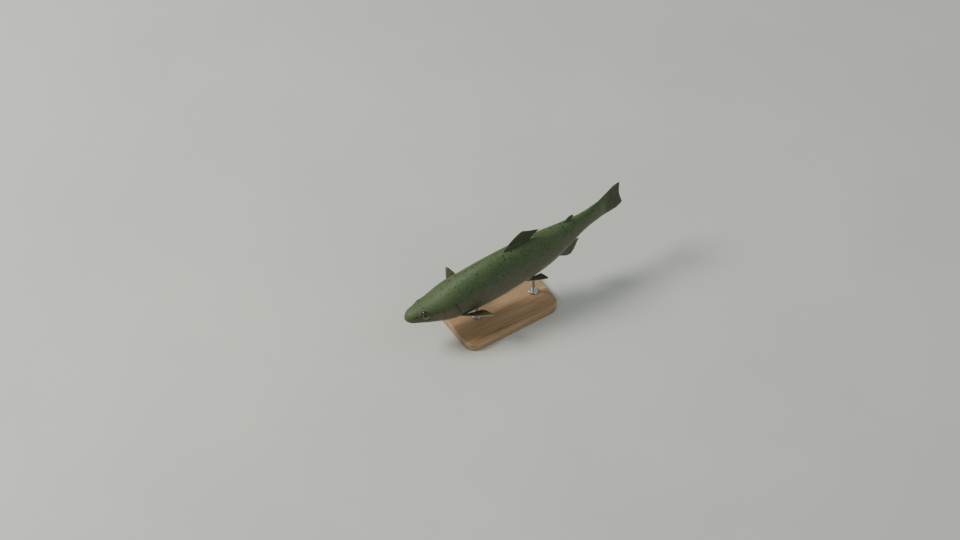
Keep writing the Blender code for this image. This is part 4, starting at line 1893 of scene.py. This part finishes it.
@dataclass(frozen=True)
class TroutColours:
    """The fish's colours, from back to belly, its marks, and painted shade for its folds and overlapped
    scales.
    """

    back: Colour = (0.068, 0.108, 0.040)
    shoulder: Colour = (0.064, 0.102, 0.037)
    upper_flank: Colour = (0.062, 0.090, 0.038)
    flank: Colour = (0.070, 0.090, 0.046)
    lower_flank: Colour = (0.118, 0.136, 0.086)
    belly: Colour = (0.36, 0.37, 0.30)
    band: Colour = (0.150, 0.062, 0.047)
    spot: Colour = (0.009, 0.012, 0.008)
    head_top: Colour = (0.072, 0.106, 0.042)
    gill_cover: Colour = (0.150, 0.108, 0.070)
    web: Colour = (0.044, 0.070, 0.026)
    ray: Colour = (0.022, 0.036, 0.013)
    lower_web: Colour = (0.108, 0.112, 0.048)
    lower_ray: Colour = (0.060, 0.058, 0.028)
    fin_edge: Colour = (0.40, 0.36, 0.27)
    fin_cloud: Colour = (0.036, 0.042, 0.020)
    pore: Colour = (0.02, 0.022, 0.012)
    # fold: painted shade for the skin's folds, grooves, hollows and gill slit.
    fold: Colour = (0.012, 0.010, 0.007)
    silver: Colour = (0.42, 0.42, 0.34)
    scale_edge: Colour = (0.022, 0.026, 0.014)
    # under_scale_shade: painted shade for the fronts of scales under the ones ahead.
    under_scale_shade: Colour = (0.015, 0.016, 0.010)


@dataclass(frozen=True)
class SpotField:
    """How spots are strewn: the radius of the largest, and how many places for one there are in a metre."""

    radius: float
    places: float


BODY_SPOTS = SpotField(1.55 * MM, 215.0)
FIN_SPOTS = SpotField(2.1 * MM, 185.0)


class FishFinish:
    """The finishes of bare skin, scales and fins, which share the same markings."""

    def __init__(self, colours: TroutColours) -> None:
        """Keeps the colours.

        Args:
            colours: The fish's colours.
        """
        self.colours = colours

    def spots(self, bench: Bench, density: Socket, strewn: SpotField) -> Socket:
        """Small dark spots of mixed sizes.

        Args:
            bench: The material.
            density: How many of the places hold a spot, from 0 to 1.
            strewn: How the spots are strewn.

        Returns:
            1 in a spot and 0 outside.
        """
        wobble = bench.node("TexNoise", {"Vector": bench.place(), "Scale": 420.0, "Detail": 2.0})
        shifted = bench.node(
            "VectorMath", {0: wobble.outputs["Color"], 1: (0.5, 0.5, 0.5)}, operation="SUBTRACT"
        ).outputs[0]
        shift = bench.node("VectorMath", {0: shifted, 3: 0.0016}, operation="SCALE").outputs[0]
        where = bench.node("VectorMath", {0: bench.place(), 1: shift}, operation="ADD").outputs[0]
        cells = bench.node("TexVoronoi", {"Vector": where, "Scale": strewn.places, "Randomness": 1.0})
        lot = bench.node("SeparateColor", {0: cells.outputs["Color"]})
        chosen = bench.rise(bench.math("SUBTRACT", density, lot.outputs[0]), -0.04, 0.10)
        share = bench.math("MULTIPLY_ADD", lot.outputs[1], 0.6, 0.4)
        radius = bench.times(share, strewn.radius * strewn.places, chosen)
        inner = bench.times(radius, 0.72)
        inside = bench.fall(cells.outputs["Distance"], inner, bench.math("ADD", radius, 0.002))
        return bench.times(inside, bench.rise(radius, 0.02, 0.10))

    def markings(self, bench: Bench) -> Socket:
        """The body's colours, the same on bare skin and scales: olive back, rosy band, pale belly, spots.

        Args:
            bench: The material.

        Returns:
            The colour.
        """
        tone = self.colours
        along, share, _ = bench.note("form")
        place = bench.place()
        drift = bench.math("MULTIPLY_ADD", bench.noise(place, 38.0, 4.0), 0.10, -0.05)
        cloud = bench.noise(place, 110.0, 4.0)
        # Painted shade: the tail stalk is coloured as if all of it lay nearer the back, which darkens its
        # lower half.
        stalk_shade = bench.rise(along, 0.200, 0.310, 0.0, 0.36)
        level = bench.math("ADD", bench.times(share, bench.without(stalk_shade)), drift)
        body = bench.ramp(level, (
            (0.00, tone.back), (0.20, tone.shoulder), (0.36, tone.upper_flank),
            (0.52, tone.flank), (0.66, tone.lower_flank), (0.84, tone.belly),
        ))
        veil = bench.ramp(cloud, ((0.30, (0.42, 0.42, 0.42)), (0.72, (0.62, 0.62, 0.62))))
        body = bench.mix(0.35, body, veil, "OVERLAY")
        off_line = bench.off(share, bench.math("SUBTRACT", 0.505, drift))
        band = bench.times(bench.fall(off_line, 0.02, 0.125), bench.rise(along, 0.030, 0.085))
        body = bench.mix(bench.times(band, bench.rise(cloud, 0.25, 0.62, 0.12, 0.32)), body, tone.band)
        on_head = bench.fall(along, 0.048, 0.088)
        crown = bench.times(on_head, bench.fall(level, 0.18, 0.42))
        body = bench.mix(crown, body, tone.head_top)
        cheek_height = bench.fall(bench.off(level, 0.55), 0.04, 0.20)
        cheek = bench.times(on_head, cheek_height, bench.rise(along, 0.022, 0.046, 0.15, 0.75))
        body = bench.mix(cheek, body, tone.gill_cover)
        upper = bench.times(bench.fall(level, 0.30, 0.66), 0.82, bench.rise(along, 0.010, 0.085, 0.35, 1.0))
        density = bench.math("ADD", upper, bench.rise(along, 0.20, 0.30, 0.0, 0.10))
        spots = bench.times(self.spots(bench, density, BODY_SPOTS), bench.fall(level, 0.60, 0.72))
        return bench.mix(bench.times(spots, 0.90), body, tone.spot)

    def skin(self) -> Material:
        """Bare skin: smooth, moist and finely pored, with shade painted dark into its folds.

        Returns:
            The material.
        """
        bench = Bench("trout_skin", Coat_Weight=0.05, Coat_Roughness=0.32, Specular_IOR_Level=0.32)
        hollow, _, _ = bench.note("fine")
        place = bench.place()
        pores = bench.node("TexVoronoi", {"Vector": place, "Scale": 1500.0, "Randomness": 1.0})
        grain = bench.noise(place, 900.0, 4.0)
        colour = bench.mix(bench.rise(grain, 0.35, 0.75, 0.0, 0.18), self.markings(bench), self.colours.pore)
        # Painted shade: darker where the skin lies deep in a fold, groove or the gill slit.
        colour = bench.mix(bench.times(hollow, 0.80), colour, self.colours.fold)
        bench.paint(colour, bench.rise(grain, 0.25, 0.75, 0.54, 0.68))
        dimples = bench.noise(place, 220.0, 3.0)
        bench.bumped((pores.outputs["Distance"], 0.00005), (dimples, 0.00012), (grain, 0.00005))
        return bench.material

    def scale(self) -> Material:
        """Scales: each a little lighter or darker, silvery in the middle and dusky along its free edge.

        Returns:
            The material.
        """
        bench = Bench("trout_scales", Coat_Weight=0.06, Coat_Roughness=0.30, Specular_IOR_Level=0.36)
        buried_shade, lot, rear = bench.note("fine")
        along, share, _ = bench.note("form")
        _, across, _ = bench.note("ray")
        silver = bench.rise(along, 0.056, 0.105)
        shade = bench.math("MULTIPLY_ADD", lot, 0.34, 0.83)
        grey = bench.node("CombineColor", {0: shade, 1: shade, 2: shade}).outputs[0]
        colour = bench.mix(1.0, self.markings(bench), grey, "MULTIPLY")
        middle = bench.times(bench.rise(rear, 0.15, 0.55), bench.fall(rear, 0.60, 0.86))
        gleam = bench.times(middle, bench.rise(share, 0.15, 0.65, 0.03, 0.24), silver)
        colour = bench.mix(gleam, colour, self.colours.silver)
        edge = bench.times(bench.rise(rear, 0.66, 0.95), bench.rise(share, 0.40, 0.85, 0.42, 0.12))
        colour = bench.mix(edge, colour, self.colours.scale_edge)
        # Painted shade over each plate's front, where the scale ahead overlaps it.
        colour = bench.mix(bench.times(buried_shade, 0.6), colour, self.colours.under_scale_shade)
        grain = bench.noise(bench.place(), 1100.0, 3.0)
        uneven = bench.math("ADD", grain, bench.times(lot, 0.3))
        # Over the nape the scales are duller.
        dull = bench.math("MULTIPLY_ADD", silver, -0.16, 0.16)
        bench.paint(colour, bench.math("ADD", bench.rise(uneven, 0.3, 1.0, 0.44, 0.60), dull))
        metal = bench.times(bench.rise(share, 0.25, 0.62, 0.04, 0.28), silver)
        bench.set(bench.shader.inputs["Metallic"], metal)
        spot = bench.node("CombineXYZ", {0: rear, 1: across}).outputs[0]
        from_root = bench.node("VectorMath", {0: spot}, operation="LENGTH").outputs["Value"]
        rings = bench.math("SINE", bench.times(from_root, 60.0))
        bench.bumped((rings, 0.000004), (grain, 0.00004))
        return bench.material

    def fin(self) -> Material:
        """Fins: dark jointed rays in a thinner, paler web, spotted above and edged with a pale line below.

        Returns:
            The material.
        """
        tone = self.colours
        bench = Bench(
            "trout_fins", Coat_Weight=0.06, Coat_Roughness=0.30, Specular_IOR_Level=0.36,
            Subsurface_Weight=0.12, Subsurface_Scale=0.002,
        )
        along, _, kind = bench.note("form")
        web, place_in_fin, out = bench.note("fine")
        ray, _, length = bench.note("ray")
        plain = bench.math("SUBTRACT", kind, 1.0)
        mottle = bench.noise(bench.place(), 160.0, 4.0)
        between = bench.rise(web, 0.2, 0.9)
        upper = bench.mix(between, tone.ray, tone.web)
        lower = bench.mix(between, tone.lower_ray, tone.lower_web)
        colour = bench.mix(plain, upper, lower)
        colour = bench.mix(bench.rise(mottle, 0.35, 0.75, 0.0, 0.35), colour, tone.fin_cloud)
        spots = self.spots(bench, bench.times(bench.without(plain), 0.88), FIN_SPOTS)
        colour = bench.mix(bench.times(spots, 0.85), colour, tone.spot)
        leading = bench.times(bench.fall(place_in_fin, 0.01, 0.07), plain)
        colour = bench.mix(bench.times(leading, 0.70), colour, tone.fin_edge)
        joints = bench.math("SINE", bench.times(length, 2 * math.pi / (1.1 * MM)))
        joint = bench.times(bench.rise(joints, 0.80, 1.0), bench.fall(web, 0.3, 0.6))
        colour = bench.mix(bench.times(joint, 0.13), colour, tone.fin_edge)
        # The body's colours run out over the root, farther on the tail fin.
        reach = bench.math("ADD", out, bench.math("MULTIPLY_ADD", mottle, 0.16, -0.08))
        start = bench.rise(along, 0.3105, 0.3115, 0.06, 0.30)
        root = bench.fall(reach, start, bench.math("ADD", start, 0.26))
        colour = bench.mix(bench.times(root, 0.92), colour, self.markings(bench))
        bench.paint(colour, bench.rise(mottle, 0.3, 0.7, 0.44, 0.60))
        fine_rays = bench.math("SINE", bench.times(ray, 8 * math.pi))
        bench.bumped((fine_rays, 0.00003), (joint, 0.00003), (bench.noise(bench.place(), 700.0), 0.00005))
        return bench.material


@dataclass(frozen=True)
class EyeFinish:
    """A black pupil in a brassy iris, flecked and darker above, under a clear gloss."""

    pupil: Colour = (0.003, 0.003, 0.003)
    bronze: Colour = (0.090, 0.072, 0.031)
    brass: Colour = (0.22, 0.178, 0.088)
    spoke: Colour = (0.060, 0.046, 0.022)
    upper: Colour = (0.028, 0.030, 0.015)
    bar: Colour = (0.030, 0.026, 0.014)
    ring: Colour = (0.29, 0.225, 0.10)
    rim: Colour = (0.018, 0.018, 0.012)

    def build(self, pupil: float) -> Material:
        """Makes the finish.

        Args:
            pupil: The pupil's radius, as a share of the eye's.

        Returns:
            The material.
        """
        bench = Bench("trout_eye", Coat_Weight=0.55, Coat_Roughness=0.04, Specular_IOR_Level=0.4)
        ahead, above, _ = bench.note("gaze")
        squares = bench.math("ADD", bench.times(ahead, ahead), bench.times(above, above))
        # The pupil comes to a blunt point in front.
        pointed = bench.times(bench.rise(ahead, 0.0, 0.6), 0.07)
        inside = bench.math("SUBTRACT", bench.math("SQRT", squares), pointed)
        flecks = bench.noise(bench.place(), 1300.0, 4.0, 0.60)
        spokes = bench.noise(bench.stretched(bench.place(), (1.0, 1.0, 3.0)), 520.0, 3.0)
        iris = bench.mix(bench.rise(flecks, 0.36, 0.64), self.bronze, self.brass)
        iris = bench.mix(bench.rise(spokes, 0.42, 0.72, 0.0, 0.45), iris, self.spoke)
        iris = bench.mix(bench.rise(above, -0.05, 0.62, 0.0, 0.85), iris, self.upper)
        level = bench.math("ADD", above, bench.math("MULTIPLY_ADD", flecks, 0.20, -0.10))
        bar = bench.fall(bench.math("ABSOLUTE", level), 0.10, 0.34)
        iris = bench.mix(bench.times(bar, 0.80), iris, self.bar)
        glow = bench.fall(bench.off(inside, pupil + 0.030), 0.008, 0.032)
        iris = bench.mix(bench.times(glow, 0.60), iris, self.ring)
        iris = bench.mix(bench.rise(inside, 0.76, 0.92), iris, self.rim)
        colour = bench.mix(bench.rise(inside, pupil - 0.015, pupil + 0.015), self.pupil, iris)
        bench.paint(colour, bench.rise(inside, pupil - 0.02, pupil + 0.03, 0.06, 0.24))
        bench.set(bench.shader.inputs["Metallic"], bench.rise(inside, pupil, pupil + 0.05, 0.0, 0.35))
        bench.bumped((flecks, 0.000012))
        return bench.material


@dataclass(frozen=True)
class StandFinish:
    """The wood and the steel of the stand."""

    dark_ring: Colour = (0.27, 0.155, 0.075)
    ring: Colour = (0.40, 0.255, 0.135)
    pale_ring: Colour = (0.47, 0.315, 0.175)
    fibre: Colour = (0.22, 0.125, 0.060)
    pore: Colour = (0.10, 0.055, 0.028)
    dark_steel: Colour = (0.50, 0.50, 0.48)
    bright_steel: Colour = (0.62, 0.62, 0.60)

    def wood(self) -> Material:
        """Pale oak, its grain along X, oiled to a satin gloss.

        Returns:
            The material.
        """
        bench = Bench("base_oak", Coat_Weight=0.15, Coat_Roughness=0.35)
        place = bench.place()
        bend = bench.noise(bench.stretched(place, (2.0, 9.0, 9.0)), 3.0, 2.0)
        wide = bench.node("CombineXYZ", {1: bench.times(bend, 0.020)}).outputs[0]
        bent = bench.node("VectorMath", {0: place, 1: wide}, operation="ADD").outputs[0]
        rings = bench.noise(bench.stretched(bent, (5.0, 95.0, 60.0)), 2.2, 3.0)
        fibres = bench.noise(bench.stretched(place, (22.0, 900.0, 900.0)), 1.6, 3.0)
        pores = bench.noise(bench.stretched(place, (60.0, 1500.0, 1500.0)), 1.0, 2.0)
        colour = bench.ramp(rings, ((0.30, self.dark_ring), (0.50, self.ring), (0.72, self.pale_ring)))
        colour = bench.mix(bench.rise(fibres, 0.42, 0.75, 0.0, 0.45), colour, self.fibre)
        colour = bench.mix(bench.rise(pores, 0.62, 0.72, 0.0, 0.65), colour, self.pore)
        bench.paint(colour, bench.rise(fibres, 0.3, 0.7, 0.38, 0.52))
        bench.bumped((fibres, 0.00004), (pores, 0.00005))
        return bench.material

    def steel(self) -> Material:
        """Steel, brushed round the rods.

        Returns:
            The material.
        """
        bench = Bench("brushed_steel", Metallic=1.0)
        place = bench.place()
        lines = bench.noise(bench.stretched(place, (60.0, 60.0, 5200.0)), 1.0, 3.0)
        smudge = bench.noise(place, 55.0, 3.0)
        colour = bench.mix(bench.rise(smudge, 0.3, 0.7), self.dark_steel, self.bright_steel)
        bench.paint(colour, bench.rise(lines, 0.3, 0.7, 0.24, 0.42))
        bench.bumped((lines, 0.00001))
        return bench.material


# Studio
# ------


@dataclass(frozen=True)
class Lamp:
    """A soft square lamp. Its azimuth runs anticlockwise from where the left flank faces the viewer."""

    name: str
    azimuth: float
    elevation: float
    distance: float
    size: float
    power: float
    colour: Colour


KEY_LAMP = Lamp("key_lamp", math.radians(-125.0), math.radians(44.0), 3.2, 1.10, 100.0, (1.0, 0.97, 0.90))
FILL_LAMP = Lamp("fill_lamp", math.radians(60), math.radians(38), 3.6, 2.2, 20.0, (0.92, 0.97, 1.0))


@dataclass
class Studio:
    """The floor, the lights and the camera."""

    azimuth: float = math.radians(-33.6)
    elevation: float = math.radians(48.0)
    distance: float = 3.08
    lens: float = 85.0
    aim: tuple[float, float, float] = (0.0, 0.0, 0.085)
    left_of_aim: float = 0.02704
    above_aim: float = 0.00177
    floor_radius: float = 8.0
    pale_floor: Colour = (0.60, 0.61, 0.57)
    dark_floor: Colour = (0.56, 0.58, 0.54)
    sky: Colour = (0.80, 0.84, 0.82)
    sky_strength: float = 0.45
    lamps: tuple[Lamp, ...] = (KEY_LAMP, FILL_LAMP)

    @staticmethod
    def towards(azimuth: float, elevation: float) -> Vector:
        """The way to something that stands at these two angles."""
        flat = math.cos(elevation)
        return Vector((math.sin(azimuth) * flat, -math.cos(azimuth) * flat, math.sin(elevation)))

    def axes(self) -> tuple[Vector, Vector, Vector]:
        """The camera's right, up and backward directions.

        Returns:
            The three directions.
        """
        back = self.towards(self.azimuth, self.elevation)
        right = Vector((math.cos(self.azimuth), math.sin(self.azimuth), 0))
        return right, back.cross(right), back

    def camera(self) -> Object:
        """Sets up the camera.

        Returns:
            The camera.
        """
        right, up, back = self.axes()
        data = bpy.data.cameras.new("camera")
        data.lens, data.sensor_width, data.clip_end = self.lens, 36.0, 60.0
        made = object_of("camera", data)
        place = Vector(self.aim) + back * self.distance - right * self.left_of_aim + up * self.above_aim
        turned = Matrix((right, up, back)).transposed().to_4x4()
        made.matrix_world = Matrix.Translation(place) @ turned
        bpy.context.scene.camera = made
        return made

    def lamp(self, lamp: Lamp) -> None:
        """Adds a lamp that faces the fish.

        Args:
            lamp: The lamp.
        """
        away = self.towards(lamp.azimuth, lamp.elevation)
        data = bpy.data.lights.new(lamp.name, "AREA")
        data.size, data.energy, data.color = lamp.size, lamp.power, lamp.colour
        made = object_of(lamp.name, data)
        turned = away.to_track_quat("Z", "Y").to_matrix().to_4x4()
        made.matrix_world = Matrix.Translation(Vector(self.aim) + away * lamp.distance) @ turned

    def floor(self) -> Object:
        """Lays the plain pale floor.

        Returns:
            The floor.
        """
        mesh = bmesh.new()
        bmesh.ops.create_circle(mesh, cap_ends=True, segments=96, radius=self.floor_radius)
        data = mesh_from("floor", mesh)
        bench = Bench("floor_paint", Specular_IOR_Level=0.3)
        tone = bench.noise(bench.place(), 3.0, 4.0)
        colour = bench.mix(bench.rise(tone, 0.3, 0.7), self.dark_floor, self.pale_floor)
        bench.paint(colour, bench.rise(tone, 0.3, 0.7, 0.72, 0.82))
        bench.bumped((bench.noise(bench.place(), 400.0), 0.0001))
        return object_of("floor", data, bench.material)

    def build(self) -> None:
        """Sets the whole studio."""
        self.floor()
        self.camera()
        for lamp in self.lamps:
            self.lamp(lamp)
        world = bpy.data.worlds.new("studio")
        world.use_nodes = True
        background = world.node_tree.nodes["Background"]
        background.inputs[0].default_value = (*self.sky, 1.0)
        background.inputs[1].default_value = self.sky_strength
        bpy.context.scene.world = world


def main() -> None:
    """Builds the fish, the stand and the studio round the solids."""
    logging.basicConfig(level=logging.INFO, format="%(name)s: %(message)s")
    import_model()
    finish = FishFinish(TroutColours())
    hide = TroutHide()
    report(hide.build(finish.skin(), finish.fin()))
    for piece in ScaleCoat(hide.body).build(finish.scale()):
        report(piece)
    glass = EyeFinish().build(TroutEye.pupil)
    for side in Side:
        report(TroutEye(side).build(glass))
    stand = StandFinish()
    for piece in DisplayStand().build(stand.wood(), stand.steel()):
        report(piece)
    Studio().build()


if __name__ == "__main__":
    main()
